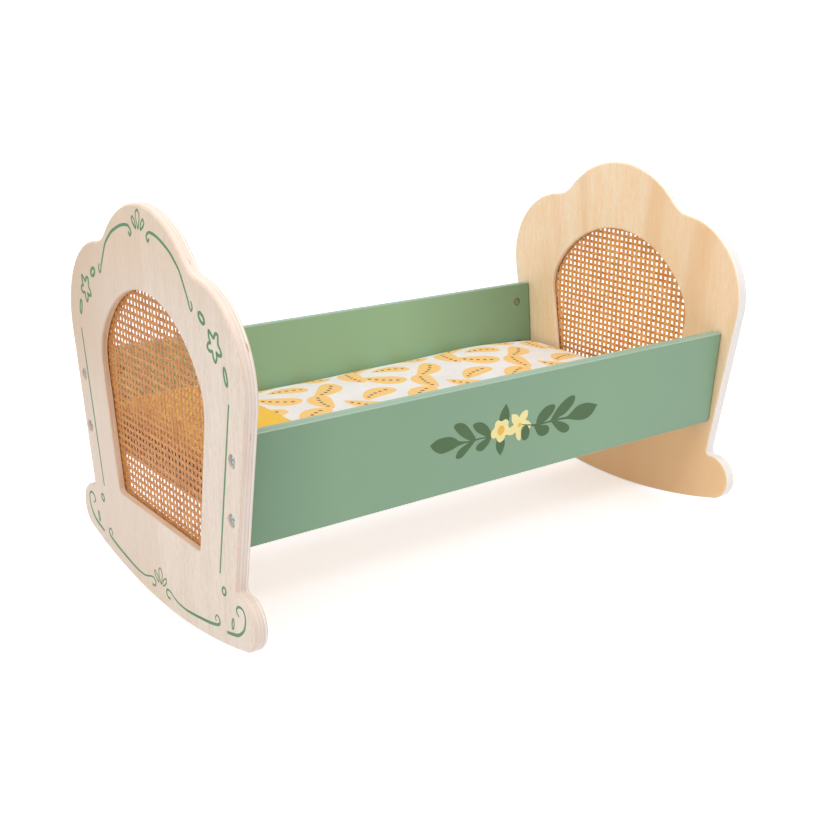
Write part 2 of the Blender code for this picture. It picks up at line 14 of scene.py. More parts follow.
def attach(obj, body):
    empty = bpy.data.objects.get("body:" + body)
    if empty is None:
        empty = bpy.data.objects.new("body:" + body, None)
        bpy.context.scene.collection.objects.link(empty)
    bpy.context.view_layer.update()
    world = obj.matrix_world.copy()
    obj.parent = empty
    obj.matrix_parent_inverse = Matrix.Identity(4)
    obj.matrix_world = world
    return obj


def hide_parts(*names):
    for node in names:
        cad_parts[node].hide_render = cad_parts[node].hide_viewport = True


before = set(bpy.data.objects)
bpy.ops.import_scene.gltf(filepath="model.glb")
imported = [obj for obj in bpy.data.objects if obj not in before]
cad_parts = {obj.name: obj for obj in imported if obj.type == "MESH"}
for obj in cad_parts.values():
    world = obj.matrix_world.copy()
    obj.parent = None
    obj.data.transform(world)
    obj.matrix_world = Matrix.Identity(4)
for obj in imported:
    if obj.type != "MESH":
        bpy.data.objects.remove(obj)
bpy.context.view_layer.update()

LOG = logging.getLogger("doll_cradle")
CRADLE = "cradle"
WELD = 1e-6
MILLI = 0.001
Socket = bpy.types.NodeSocket
Number = float | Socket
Place = tuple[float, float]
Surface = Callable[[float, float, float], Vector]


class End(Enum):
    """The two ends of the cradle, by the sign of X."""

    HEAD = -1
    FOOT = 1

    @property
    def word(self) -> str:
        """The end's name in the names of pieces."""
        return self.name.lower()


class Side(Enum):
    """The two long sides of the cradle, by the sign of Y."""

    FRONT = -1
    BACK = 1

    @property
    def word(self) -> str:
        """The side's name in the names of pieces."""
        return self.name.lower()


class Slot(Enum):
    """The record's material slots."""

    PLY = "birch_plywood"
    CANE = "cane_webbing"
    GREEN = "green_paint"
    STEEL = "zinc_steel"
    PLAIN = "plain_cotton"
    PRINTED = "printed_cotton"
    YELLOW = "yellow_cotton"


class Axis(Enum):
    """The axes that a grain or a strand runs along."""

    X = 0
    Y = 1
    Z = 2


def tone(code: str) -> tuple[float, float, float, float]:
    """Turns a written colour into the linear one that a shader takes.

    Args:
        code: six hex digits, red, green and blue.

    Returns:
        The linear colour with an alpha of one.
    """
    steps = [int(code[i:i + 2], 16) / 255 for i in (0, 2, 4)]
    parts = [s / 12.92 if s <= 0.04045 else ((s + 0.055) / 1.055) ** 2.4 for s in steps]
    return (*parts, 1.0)


def polar(centre: Place, radius: float, angle: float) -> Place:
    """The point at a radius and an angle in degrees round a centre."""
    turn = math.radians(angle)
    return centre[0] + radius * math.cos(turn), centre[1] + radius * math.sin(turn)


def bearing(start: Place, goal: Place) -> float:
    """The angle in degrees from one point to another."""
    return math.degrees(math.atan2(goal[1] - start[1], goal[0] - start[0]))


def meet_line(start: Place, angle: float, centre: Place, radius: float, side: int) -> Place:
    """Finds where a line meets a circle.

    Args:
        start: a point on the line.
        angle: the line's direction in degrees.
        centre: the circle's centre.
        radius: the circle's radius.
        side: +1 for the meeting further along the line, -1 for the nearer one.

    Returns:
        The meeting point.
    """
    way = polar((0.0, 0.0), 1.0, angle)
    off = (start[0] - centre[0], start[1] - centre[1])
    along = off[0] * way[0] + off[1] * way[1]
    rest = off[0] ** 2 + off[1] ** 2 - radius ** 2
    reach = -along + side * math.sqrt(along ** 2 - rest)
    return start[0] + way[0] * reach, start[1] + way[1] * reach


def meet_circles(first: Place, first_radius: float, second: Place, second_radius: float) -> Place:
    """Finds the meeting of two circles that lies to the right of the way between them.

    Args:
        first: the first circle's centre.
        first_radius: its radius.
        second: the second circle's centre.
        second_radius: its radius.

    Returns:
        The meeting point with the greater first coordinate.
    """
    gap = math.dist(first, second)
    along = (gap ** 2 + first_radius ** 2 - second_radius ** 2) / (2 * gap)
    across = math.sqrt(first_radius ** 2 - along ** 2)
    angle = bearing(first, second)
    foot = polar(first, along, angle)
    return max(polar(foot, across, angle - 90), polar(foot, across, angle + 90))


class Graph:
    """A material's node graph around one Principled shader."""

    def __init__(self, name: str) -> None:
        """Starts the material.

        Args:
            name: the material's name.
        """
        self.material = bpy.data.materials.new(name)
        self.material.use_nodes = True
        self.nodes = self.material.node_tree.nodes
        self.links = self.material.node_tree.links
        self.nodes.clear()
        self.shader = self.nodes.new("ShaderNodeBsdfPrincipled")
        self.output = self.nodes.new("ShaderNodeOutputMaterial")
        self.links.new(self.shader.outputs[0], self.output.inputs[0])

    def add(self, kind: str, wires: dict[str | int, object], **settings: object) -> bpy.types.Node:
        """Adds a node.

        Args:
            kind: the node's type.
            wires: a value or a socket for each input.
            settings: the node's own settings.

        Returns:
            The node.
        """
        node = self.nodes.new(kind)
        for key, value in settings.items():
            setattr(node, key, value)
        for key, value in wires.items():
            if isinstance(value, bpy.types.NodeSocket):
                self.links.new(value, node.inputs[key])
            else:
                node.inputs[key].default_value = value
        return node

    def dress(self, **values: object) -> None:
        """Sets or wires the shader's sockets, named with underscores for spaces."""
        for key, value in values.items():
            socket = self.shader.inputs[key.replace("_", " ")]
            if isinstance(value, bpy.types.NodeSocket):
                self.links.new(value, socket)
            else:
                socket.default_value = value

    def place(self) -> Socket:
        """The object's own coordinates, in metres."""
        return self.add("ShaderNodeTexCoord", {}).outputs["Object"]

    def split(self, vector: Socket) -> tuple[Socket, Socket, Socket]:
        """The three parts of a vector."""
        return tuple(self.add("ShaderNodeSeparateXYZ", {0: vector}).outputs)

    def join(self, x: Number, y: Number, z: Number) -> Socket:
        """A vector from its three parts."""
        return self.add("ShaderNodeCombineXYZ", {0: x, 1: y, 2: z}).outputs[0]

    def sum(self, kind: str, *values: Number) -> Socket:
        """The result of one Math node."""
        return self.add("ShaderNodeMath", dict(enumerate(values)), operation=kind).outputs[0]

    def fade(self, value: Number, low: float, high: float) -> Socket:
        """Rises smoothly from 0 at low to 1 at high."""
        wires = {"Value": value, "From Min": low, "From Max": high}
        return self.add("ShaderNodeMapRange", wires, interpolation_type="SMOOTHSTEP").outputs[0]

    def scaled(self, vector: Socket, scale: Sequence[float], offset: Sequence[float] = (0, 0, 0)) -> Socket:
        """A vector stretched along each axis and then shifted."""
        wires = {"Vector": vector, "Scale": tuple(scale), "Location": tuple(offset)}
        return self.add("ShaderNodeMapping", wires).outputs[0]

    def noise(self, vector: Socket, scale: float, detail: float = 2.0, rough: float = 0.5) -> Socket:
        """A noise value from 0 to 1."""
        wires = {"Vector": vector, "Scale": scale, "Detail": detail, "Roughness": rough}
        return self.add("ShaderNodeTexNoise", wires).outputs[0]

    def mix(self, share: Number, first: object, second: object, how: str = "MIX") -> Socket:
        """Blends two colours."""
        wires = {0: share, 6: first, 7: second}
        return self.add("ShaderNodeMix", wires, data_type="RGBA", blend_type=how).outputs[2]

    def ramp(self, value: Number, stops: Sequence[tuple[float, str]]) -> Socket:
        """A colour ramp.

        Args:
            value: the value that picks the colour.
            stops: places from 0 to 1, each with a written colour.

        Returns:
            The colour.
        """
        node = self.add("ShaderNodeValToRGB", {0: value})
        points = node.color_ramp.elements
        while len(points) < len(stops):
            points.new(1.0)
        for point, (place, code) in zip(points, stops):
            point.position, point.color = place, tone(code)
        return node.outputs[0]

    def bump(self, height: Socket, distance: float, strength: float = 1.0) -> None:
        """Lets a height, in parts of the distance, raise the surface."""
        wires = {"Height": height, "Distance": distance, "Strength": strength}
        self.dress(Normal=self.add("ShaderNodeBump", wires).outputs[0])


@dataclass(frozen=True)
class PlyStack:
    """Birch plywood, coloured through its depth: two face veneers and the plies between."""

    name: str
    through: Axis
    along: Axis
    outer_face: float
    inner_face: float
    veneer: float = 0.0007
    ply: float = 0.00137
    outer_tones: tuple[str, str, str] = ("DCCAB8", "E8D9C9", "EFE2D5")
    inner_tones: tuple[str, str, str] = ("FCD9AF", "FFE4C0", "FFF0D8")
    window_middle: float = 0.1600
    window_reach: float = 0.1180
    cane_plane: float = 0.2438
    lines: tuple[tuple[float, float, float, str], ...] = ()

    def stretch(self, through: float, across: float, along: float) -> tuple[float, ...]:
        """Puts three scales in the order of the sheet's own axes."""
        scales = [across] * 3
        scales[self.through.value], scales[self.along.value] = through, along
        return tuple(scales)

    def fleck(self, g: Graph, place: Socket) -> Socket:
        """Short fine flecks and soft streaks along the grain, from 0 to 1."""
        fine = g.noise(g.scaled(place, self.stretch(300, 1500, 170)), 1.0, 2.0, 0.6)
        soft = g.noise(g.scaled(place, self.stretch(60, 330, 36)), 1.0, 3.0, 0.55)
        broad = g.noise(g.scaled(place, self.stretch(20, 50, 4.0)), 1.0, 2.0, 0.5)
        fine = g.sum("MULTIPLY_ADD", fine, 0.50, g.sum("MULTIPLY", soft, 0.30))
        return g.sum("MULTIPLY_ADD", broad, 0.20, fine)

    def fan(self, g: Graph, place: Socket) -> Socket:
        """A faint figure whose streaks fan out upwards, from 0 to 1."""
        _, y, z = g.split(place)
        spread = g.sum("DIVIDE", y, g.sum("ADD", z, 0.28))
        figure = g.noise(g.join(spread, g.sum("MULTIPLY", z, 0.10), 0.3), 14.0, 2.0, 0.45)
        return g.fade(figure, 0.44, 0.60)

    def faces(self, g: Graph, place: Socket, grain: Socket) -> tuple[Socket, Socket]:
        """Colours the two face veneers, with painted shade on the outer face towards its back edge and painted
        bounce light low on the inner face.

        Args:
            g: the graph.
            place: the object's own coordinates.
            grain: the flecks.

        Returns:
            The outer and the inner face's colour.
        """
        stops = (0.38, 0.50, 0.62)
        outer = g.ramp(grain, tuple(zip(stops, self.outer_tones)))
        inner = g.ramp(grain, tuple(zip(stops, self.inner_tones)))
        if self.through is Axis.X:
            _, y, z = g.split(place)
            seam = g.sum("MULTIPLY_ADD", g.noise(g.scaled(place, (0, 0, 26)), 1.0, 1.0), 0.012, y)
            leaf = g.sum("MULTIPLY", g.fade(seam, 0.0040, 0.0048), 0.45)
            outer = g.mix(leaf, outer, tone("DFC9B4"))
            # Painted shade: the outer face is darkened towards its back edge, from about mid-height up.
            aside = g.sum("MULTIPLY", g.fade(y, 0.03, 0.14), g.fade(z, 0.12, 0.20))
            outer = g.mix(g.sum("MULTIPLY", aside, 0.75), outer, tone("D6BCA0"))
            outer = g.mix(g.sum("MULTIPLY", g.fade(z, 0.23, 0.29), 0.35), outer, tone("E2C29E"))
            inner = g.mix(g.sum("MULTIPLY", self.fan(g, place), 0.40), inner, tone("ECBB84"))
            inner = g.mix(g.sum("MULTIPLY", g.fade(y, 0.02, -0.12), 0.35), inner, tone("F6C898"))
            # Painted bounce light: the inner face is lightened and warmed towards its bottom, below the base
            # board.
            inner = g.mix(g.sum("MULTIPLY", g.fade(z, 0.105, 0.060), 0.85), inner, tone("FFD49F"))
        return outer, inner

    def build(self) -> bpy.types.Material:
        """Makes the material."""
        g = Graph(self.name)
        place = g.place()
        depth = g.sum("ABSOLUTE", g.split(place)[self.through.value])
        grain = self.fleck(g, place)
        outer, inner = self.faces(g, place, grain)
        edge = self.plies(g, place, depth)
        skin = self.outer_face - self.veneer
        is_outer = g.fade(depth, skin - 0.0001, skin)
        skin = self.inner_face + self.veneer
        is_inner = g.fade(depth, skin, skin - 0.0001)
        colour = g.mix(is_inner, g.mix(is_outer, edge, outer), inner)
        g.dress(Base_Color=colour, Roughness=0.52, Specular_IOR_Level=0.35)
        g.bump(grain, 0.00008, 0.5)
        return g.material

    def plies(self, g: Graph, place: Socket, depth: Socket) -> Socket:
        """The edge: close plies with hair lines, pores and a few small knots, drawn lighter at the foot end as
        painted light.
        """
        waver = g.sum("MULTIPLY", g.noise(place, 22.0, 2.0), 0.0003)
        layer = g.sum("PINGPONG", g.sum("DIVIDE", g.sum("ADD", depth, waver), self.ply), 1.0)
        hair = g.noise(g.scaled(place, self.stretch(2600, 14, 14)), 1.0, 3.0, 0.7)
        grit = g.noise(g.scaled(place, self.stretch(1400, 900, 900)), 1.0, 2.0)
        # Painted light: the foot end's edges take lighter tones than the head end's.
        foot = g.sum("GREATER_THAN", g.split(place)[0], 0.0) if self.through is Axis.X else 0.0
        pale = g.mix(foot, tone("F0E2D7"), tone("FFFCF9"))
        colour = g.mix(g.fade(layer, 0.35, 0.65), pale, g.mix(foot, tone("E8D6C9"), tone("FAF1EA")))
        line = g.mix(foot, tone("D8B79C"), tone("F0DFD2"))
        colour = g.mix(g.sum("MULTIPLY", g.fade(hair, 0.50, 0.66), 0.65), colour, line)
        colour = g.mix(g.sum("MULTIPLY", g.fade(grit, 0.50, 0.75), 0.35), colour, line)
        for middle, reach, share, code in self.lines:
            near = g.sum("ABSOLUTE", g.sum("SUBTRACT", depth, middle))
            near = g.sum("MULTIPLY", g.fade(near, reach, reach * 0.6), share)
            colour = g.mix(near, colour, tone(code))
        knot = g.noise(g.scaled(place, self.stretch(420, 75, 75), (3.1, 1.7, 0.4)), 1.0, 1.0)
        colour = g.mix(g.sum("MULTIPLY", g.fade(knot, 0.73, 0.79), 0.85), colour, tone("C59A72"))
        if self.through is Axis.X:
            colour = self.window_wall(g, place, depth, hair, colour)
        return colour

    def window_wall(self, g: Graph, place: Socket, depth: Socket, hair: Socket, colour: Socket) -> Socket:
        """Paints the edge inside the window: warm as painted reflected light from the cane, lighter at the foot
        end as painted light, and with a painted shadow line at the glued cane.

        Args:
            g: the graph.
            place: the object's own coordinates.
            depth: the distance from the cradle's middle.
            hair: the edge's hair lines.
            colour: the edge's colour.

        Returns:
            The colour with the window's wall in it.
        """
        _, y, z = g.split(place)
        up = g.sum("SUBTRACT", z, self.window_middle)
        away = g.sum("SQRT", g.sum("MULTIPLY_ADD", y, y, g.sum("MULTIPLY", up, up)))
        inside = g.fade(away, self.window_reach + 0.004, self.window_reach - 0.002)
        foot = g.sum("GREATER_THAN", g.split(place)[0], 0.0)
        # Painted reflected light: the wall is toned warm like the cane, and lighter at the foot end as painted
        # light.
        wall = g.mix(foot, tone("EDD8C2"), tone("FFF4E6"))
        wall = g.mix(g.fade(hair, 0.40, 0.62), wall, g.mix(foot, tone("D0AE90"), tone("E9C9A6")))
        # Painted shadow: a dark line along the cane's plane, where the wall meets the cane.
        line = g.sum("ABSOLUTE", g.sum("SUBTRACT", depth, self.cane_plane))
        line = g.sum("DIVIDE", line, g.sum("ADD", foot, 1.0))
        wall = g.mix(g.sum("MULTIPLY", g.fade(line, 0.0011, 0.0006), 0.75), wall, tone("75482A"))
        return g.mix(inside, colour, wall)


@dataclass(frozen=True)
class CaneStrand:
    """A split cane strand with fibres along it."""

    name: str
    along: Axis
    pitches: tuple[float, float] = (0.00593, 0.00580)
    head_start: tuple[float, float] = (-0.0011, 0.0716)
    foot_shift: float = 0.0031
    # The foot end's tones are lighter than the head end's, as painted light.
    head_tones: tuple[str, str, str] = ("AC6A33", "CF8B47", "E2A561")
    foot_tones: tuple[str, str, str] = ("C68446", "F0AC64", "FFCC90")

    def dive(self, g: Graph, place: Socket) -> Socket:
        """1 at the painted shadow spots where a lying strand dives under a standing one."""
        x, y, z = g.split(place)
        y = g.sum("MULTIPLY_ADD", g.sum("GREATER_THAN", x, 0.0), -self.foot_shift, y)
        waves = []
        for value, start, pitch in zip((y, z), self.head_start, self.pitches):
            turns = g.sum("DIVIDE", g.sum("SUBTRACT", value, start), pitch / math.pi)
            waves.append(g.sum("SINE" if value is y else "COSINE", turns))
        return g.fade(g.sum("MULTIPLY", *waves), 0.80, 0.95)

    def build(self) -> bpy.types.Material:
        """Makes the material."""
        g = Graph(self.name)
        place = g.place()
        stretch = [900.0, 900.0, 900.0]
        stretch[self.along.value] = 45.0
        fibre = g.noise(g.scaled(place, stretch), 1.0, 3.0, 0.6)
        patch = g.noise(place, 60.0, 2.0)
        stops = (0.30, 0.50, 0.72)
        # Painted light: the foot end's cane is drawn in lighter tones than the head end's.
        colour = g.mix(g.sum("GREATER_THAN", g.split(place)[0], 0.0),
                       g.ramp(fibre, tuple(zip(stops, self.head_tones))),
                       g.ramp(fibre, tuple(zip(stops, self.foot_tones))))
        share = g.sum("MULTIPLY", g.fade(patch, 0.45, 0.75), 0.5)
        colour = g.mix(share, colour, tone("E4C8AA"), "MULTIPLY")
        # Painted shadow: dark spots where a lying strand dives under a standing one, deeper at the foot end.
        if self.along is Axis.Y:
            depth = g.sum("MULTIPLY_ADD", g.sum("GREATER_THAN", g.split(place)[0], 0.0), 0.30, 0.30)
            colour = g.mix(g.sum("MULTIPLY", self.dive(g, place), depth), colour, tone("7C421A"))
        g.dress(Base_Color=colour, Roughness=0.45, Specular_IOR_Level=0.25)
        g.bump(fibre, 0.00008, 0.5)
        return g.material


@dataclass(frozen=True)
class SatinPaint:
    """A sprayed or printed paint: an even colour with a faint cloud and a fine peel."""

    name: str
    colour: str
    deeper: str
    roughness: float = 0.45
    peel: float = 0.00004

    def coat(self, g: Graph, place: Socket) -> Socket:
        """The paint's own colour."""
        cloud = g.noise(place, 14.0, 3.0)
        speck = g.noise(place, 1400.0, 2.0)
        colour = g.mix(g.fade(cloud, 0.25, 0.8), tone(self.colour), tone(self.deeper))
        return g.mix(g.sum("MULTIPLY", speck, 0.10), colour, tone(self.deeper))

    def build(self) -> bpy.types.Material:
        """Makes the material."""
        g = Graph(self.name)
        place = g.place()
        colour = self.coat(g, place)
        g.dress(Base_Color=colour, Roughness=self.roughness, Specular_IOR_Level=0.4)
        g.bump(g.noise(place, 420.0, 2.0), self.peel, 0.5)
        return g.material


@dataclass(frozen=True)
class BoardPaint(SatinPaint):
    """The side boards' paint, with painted light and shade along each board, a painted reflection on its top, a
    painted highlight on its outer arris and painted shade at its ends.
    """

    # Painted light and shade: the outer face darkens towards the head end; the inner face is lightest past the
    # middle and darkens towards the foot.
    outer_run: tuple[tuple[float, str], ...] = (
        (0.0, "6F9072"), (0.16, "87A888"), (0.50, "88A98A"), (0.70, "8CAE8D"), (1.0, "85A787"))
    inner_run: tuple[tuple[float, str], ...] = (
        (0.0, "94B893"), (0.33, "9BC19D"), (0.65, "A2CBA6"), (0.86, "8CB391"), (1.0, "76977A"))
    joint: float = 0.2371
    reach: float = 0.2387
    middle_foot: float = 0.11633
    middle_lean: float = 0.0910
    top_level: float = 0.18976

    def coat(self, g: Graph, place: Socket) -> Socket:
        """The paint's own colour, with painted light and shade along the board, on its top and arris, and at its
        ends.
        """
        x, y, z = g.split(place)
        along = g.sum("MULTIPLY_ADD", x, 0.5 / self.reach, 0.5)
        middle = g.sum("MULTIPLY_ADD", z, self.middle_lean, self.middle_foot)
        inside = g.fade(g.sum("SUBTRACT", g.sum("ABSOLUTE", y), middle), 0.0, -0.003)
        # Painted light and shade: the tone runs along the board, by face.
        drift = g.mix(inside, g.ramp(along, self.outer_run), g.ramp(along, self.inner_run))
        colour = g.mix(0.85, super().coat(g, place), drift)
        # Painted reflection: the top face is paled towards a grey green.
        top = g.sum("MULTIPLY_ADD", g.sum("ABSOLUTE", y), self.middle_lean, z)
        flat = g.sum("MULTIPLY", g.fade(top, self.top_level - 0.0013, self.top_level - 0.0006), 0.6)
        colour = g.mix(flat, colour, tone("92A89A"))
        # Painted highlight: a light line along the outer top arris.
        arris = g.sum("ADD", top, g.sum("SUBTRACT", g.sum("ABSOLUTE", y), middle))
        arris_highlight = g.fade(arris, self.top_level + 0.0035, self.top_level + 0.0038)
        colour = g.mix(g.sum("MULTIPLY", arris_highlight, 0.55), colour, tone("B9D2BE"))
        # Painted shade: the board darkens within a millimetre of its ends, against the end panels.
        out = g.sum("ABSOLUTE", x)
        joint_shade = g.sum("MULTIPLY", g.fade(out, self.joint, self.joint + 0.0008), 0.85)
        return g.mix(joint_shade, colour, tone("4A6E4A"))


@dataclass(frozen=True)
class ZincSteel:
    """Zinc-plated steel with faint turning marks."""

    name: str = "zinc_steel"
    tones: tuple[str, str] = ("B2BEBE", "D8E2E2")
    metallic: float = 0.6

    def build(self) -> bpy.types.Material:
        """Makes the material."""
        g = Graph(self.name)
        place = g.place()
        mark = g.noise(g.scaled(place, (200, 1800, 1800)), 1.0, 2.0)
        colour = g.ramp(mark, tuple(zip((0.3, 0.7), self.tones)))
        g.dress(Base_Color=colour, Metallic=self.metallic, Roughness=0.38)
        g.bump(mark, 0.00003, 0.4)
        return g.material


@dataclass(frozen=True)
class WovenCotton:
    """Plain-woven cotton of one colour."""

    name: str
    colour: str
    shade: str
    threads: float = 2300.0

    def weave(self, g: Graph, place: Socket) -> Socket:
        """The height of the threads, over and under each other."""
        x, y, z = g.split(place)
        warp = g.sum("SINE", g.sum("MULTIPLY", g.sum("ADD", x, z), self.threads * math.pi))
        weft = g.sum("SINE", g.sum("MULTIPLY", g.sum("SUBTRACT", y, z), self.threads * math.pi))
        return g.sum("MULTIPLY", warp, weft)

    def cloth(self, g: Graph, place: Socket) -> Socket:
        """The cloth's colour before any print."""
        slub = g.noise(g.scaled(place, (1500, 160, 700)), 1.0, 2.0)
        cloud = g.noise(place, 35.0, 2.0)
        share = g.sum("MULTIPLY_ADD", slub, 0.5, g.sum("MULTIPLY", cloud, 0.5))
        return g.mix(g.fade(share, 0.35, 0.65), tone(self.shade), tone(self.colour))

    def build(self) -> bpy.types.Material:
        """Makes the material."""
        g = Graph(self.name)
        place = g.place()
        self.finish(g, place, self.cloth(g, place))
        return g.material

    def finish(self, g: Graph, place: Socket, colour: Socket) -> None:
        """Gives the shader the colour, the soft sheen and the weave's bump."""
        g.dress(Base_Color=colour, Roughness=0.88, Sheen_Weight=0.25, Sheen_Roughness=0.5,
                Specular_IOR_Level=0.2)
        g.bump(self.weave(g, place), 0.00005, 0.35)


@dataclass(frozen=True)
class Leaf:
    """One leaf of the print: its place in the repeat, its size and its bend."""

    x: float
    y: float
    turn: float
    half_length: float
    half_width: float
    bend: float = 0.0


@dataclass(frozen=True)
class LeafPrint(WovenCotton):
    """Cotton printed with golden leaves, each with a row of small dots."""

    repeat: tuple[float, float] = (0.112, 0.100)
    gold: str = "EEBF70"
    dot: str = "6E5F46"
    leaves: tuple[Leaf, ...] = (
        Leaf(0.012, 0.014, 34, 0.0220, 0.0140, 9.0),
        Leaf(0.065, 0.012, -52, 0.0215, 0.0132, -10.0),
        Leaf(0.037, 0.040, 78, 0.0210, 0.0134, 8.0),
        Leaf(0.091, 0.036, 22, 0.0215, 0.0134, 11.0),
        Leaf(0.007, 0.064, -40, 0.0215, 0.0140, -8.0),
        Leaf(0.061, 0.067, 40, 0.0215, 0.0134, -11.0),
        Leaf(0.099, 0.088, 84, 0.0200, 0.0132, 9.0),
        Leaf(0.031, 0.090, -16, 0.0190, 0.0116, 10.0),
    )
    dot_step: float = 0.0066
    dot_radius: float = 0.00205

    def leaf(self, g: Graph, x: Socket, y: Socket, leaf: Leaf) -> tuple[Socket, Socket]:
        """Draws one leaf of the repeat.

        Args:
            g: the graph.
            x: the cloth's coordinate along the cradle.
            y: the cloth's coordinate across it.
            leaf: the leaf.

        Returns:
            Its covering and its dots, each from 0 to 1.
        """
        half = (self.repeat[0] / 2, self.repeat[1] / 2)
        dx = g.sum("WRAP", g.sum("SUBTRACT", x, leaf.x), half[0], -half[0])
        dy = g.sum("WRAP", g.sum("SUBTRACT", y, leaf.y), half[1], -half[1])
        cos, sin = math.cos(math.radians(leaf.turn)), math.sin(math.radians(leaf.turn))
        u = g.sum("MULTIPLY_ADD", dx, cos, g.sum("MULTIPLY", dy, sin))
        v = g.sum("MULTIPLY_ADD", dy, cos, g.sum("MULTIPLY", dx, -sin))
        square = g.sum("MULTIPLY", u, u)
        v = g.sum("MULTIPLY_ADD", square, leaf.bend, v)
        share = g.sum("MULTIPLY", square, 1 / leaf.half_length ** 2)
        width = g.sum("SQRT", g.sum("MAXIMUM", g.sum("SUBTRACT", 1.0, share), 0.0))
        point = g.sum("MULTIPLY_ADD", u, 0.30 / leaf.half_length, 0.80)
        width = g.sum("MULTIPLY", g.sum("MULTIPLY", width, point), leaf.half_width)
        inside = g.sum("SUBTRACT", width, g.sum("ABSOLUTE", v))
        cover = g.fade(inside, 0.0, 0.0003)
        near = g.sum("WRAP", u, self.dot_step / 2, -self.dot_step / 2)
        away = g.sum("SQRT", g.sum("MULTIPLY_ADD", near, near, g.sum("MULTIPLY", v, v)))
        spot = g.fade(away, self.dot_radius, self.dot_radius * 0.7)
        middle = g.fade(share, 0.55, 0.50)
        return cover, g.sum("MULTIPLY", spot, middle)

    def build(self) -> bpy.types.Material:
        """Makes the material."""
        g = Graph(self.name)
        place = g.place()
        x, y, _ = g.split(place)
        cover, dots = 0.0, 0.0
        for leaf in self.leaves:
            piece, spots = self.leaf(g, x, y, leaf)
            cover, dots = g.sum("MAXIMUM", cover, piece), g.sum("MAXIMUM", dots, spots)
        ink = g.noise(place, 700.0, 2.0)
        gold = g.mix(g.sum("MULTIPLY", ink, 0.35), tone(self.gold), tone("F7D592"))
        colour = g.mix(cover, self.cloth(g, place), gold)
        colour = g.mix(dots, colour, tone(self.dot))
        self.finish(g, place, colour)
        return g.material


class Finishes:
    """All finishes of the cradle, each made once."""

    def __init__(self) -> None:
        """Makes the materials."""
        self.ply = PlyStack("birch_plywood", Axis.X, Axis.Z, 0.2500, 0.2390,
                            lines=((0.24905, 0.00028, 0.55, "D9A67A"),
                                   (0.24130, 0.00075, 0.70, "F9F3EC"))).build()
        self.base_ply = PlyStack("base_plywood", Axis.Z, Axis.X, 0.10417, 0.10017, ply=0.0009,
                                 inner_tones=("DCCAB8", "E8D9C9", "EFE2D5")).build()
        self.standing_cane = CaneStrand("cane_standing", Axis.Z).build()
        self.lying_cane = CaneStrand("cane_lying", Axis.Y).build()
        self.green = BoardPaint("green_paint", "8CAD8D", "86A787", 0.40).build()
        self.line = SatinPaint("line_green", "4E8757", "467D4E", 0.5).build()
        self.leaf = SatinPaint("leaf_green", "4B6B40", "45653A", 0.5).build()
        self.petal = SatinPaint("petal_yellow", "FFF1AD", "FDEBA0", 0.5).build()
        self.heart = SatinPaint("heart_gold", "F9CB58", "F3BE4B", 0.5).build()
        self.steel = ZincSteel().build()
        self.dull_steel = ZincSteel("dull_zinc_steel", ("74805F", "8D9878"), 0.25).build()
        self.plain = WovenCotton("plain_cotton", "F1EEE8", "E6E1D8").build()
        self.yellow = WovenCotton("yellow_cotton", "EFC43C", "E8B831").build()
        self.printed = LeafPrint("printed_cotton", "E9E7E6", "E0DEDD").build()


class Workpiece:
    """A mesh in the making, with the workshop's own steps around bmesh operators."""

    def __init__(self, name: str) -> None:
        """Starts an empty mesh.

        Args:
            name: the piece's name.
        """
        self.name = name
        self.bm = bmesh.new()

    def bridge(self, *rings: Sequence[bmesh.types.BMEdge]) -> None:
        """Bridges each ring of edges to the next one."""
        for first, second in zip(rings, rings[1:]):
            bmesh.ops.bridge_loops(self.bm, edges=[*first, *second])

    def fill(self, *rings: Sequence[bmesh.types.BMEdge]) -> None:
        """Fills the flat area that the rings bound."""
        edges = [edge for ring in rings for edge in ring]
        bmesh.ops.triangle_fill(self.bm, use_beauty=True, use_dissolve=False, edges=edges)

    def circle(self, centre: Vector, radius: float, segments: int, turn: Matrix) -> list:
        """A ring of edges round a centre.

        Args:
            centre: the ring's centre.
            radius: its radius.
            segments: how many edges it has.
            turn: turns the ring from the XY plane.

        Returns:
            The ring's edges.
        """
        before = set(self.bm.edges)
        place = Matrix.Translation(centre) @ turn.to_4x4()
        bmesh.ops.create_circle(self.bm, cap_ends=False, radius=radius, segments=segments, matrix=place)
        return [edge for edge in self.bm.edges if edge not in before]

    def merge(self, other: bmesh.types.BMesh, slot: int = 0) -> None:
        """Takes another bmesh in, and frees it.

        Args:
            other: the other mesh.
            slot: the material slot of its faces.
        """
        for face in other.faces:
            face.material_index = slot
        mesh = bpy.data.meshes.new("part")
        other.to_mesh(mesh)
        other.free()
        self.bm.from_mesh(mesh)
        bpy.data.meshes.remove(mesh)

    def done(self, materials: Sequence[bpy.types.Material], slot: Slot, body: str = CRADLE,
             replaces: Iterable[str] = (), sharp: float = 40.0, weigh: bool = True) -> bpy.types.Object:
        """Finishes the piece and sets it on its body.

        Args:
            materials: the piece's materials, in slot order.
            slot: the record's slot.
            body: the body that it rides on.
            replaces: the CAD nodes that it stands for.
            sharp: the angle in degrees past which an edge is sharp.
            weigh: gives flat faces their own even shading.

        Returns:
            The piece's object.
        """
        mesh = bpy.data.meshes.new(self.name)
        self.bm.to_mesh(mesh)
        self.bm.free()
        return present(mesh, self.name, materials, slot, body, replaces, sharp, weigh)


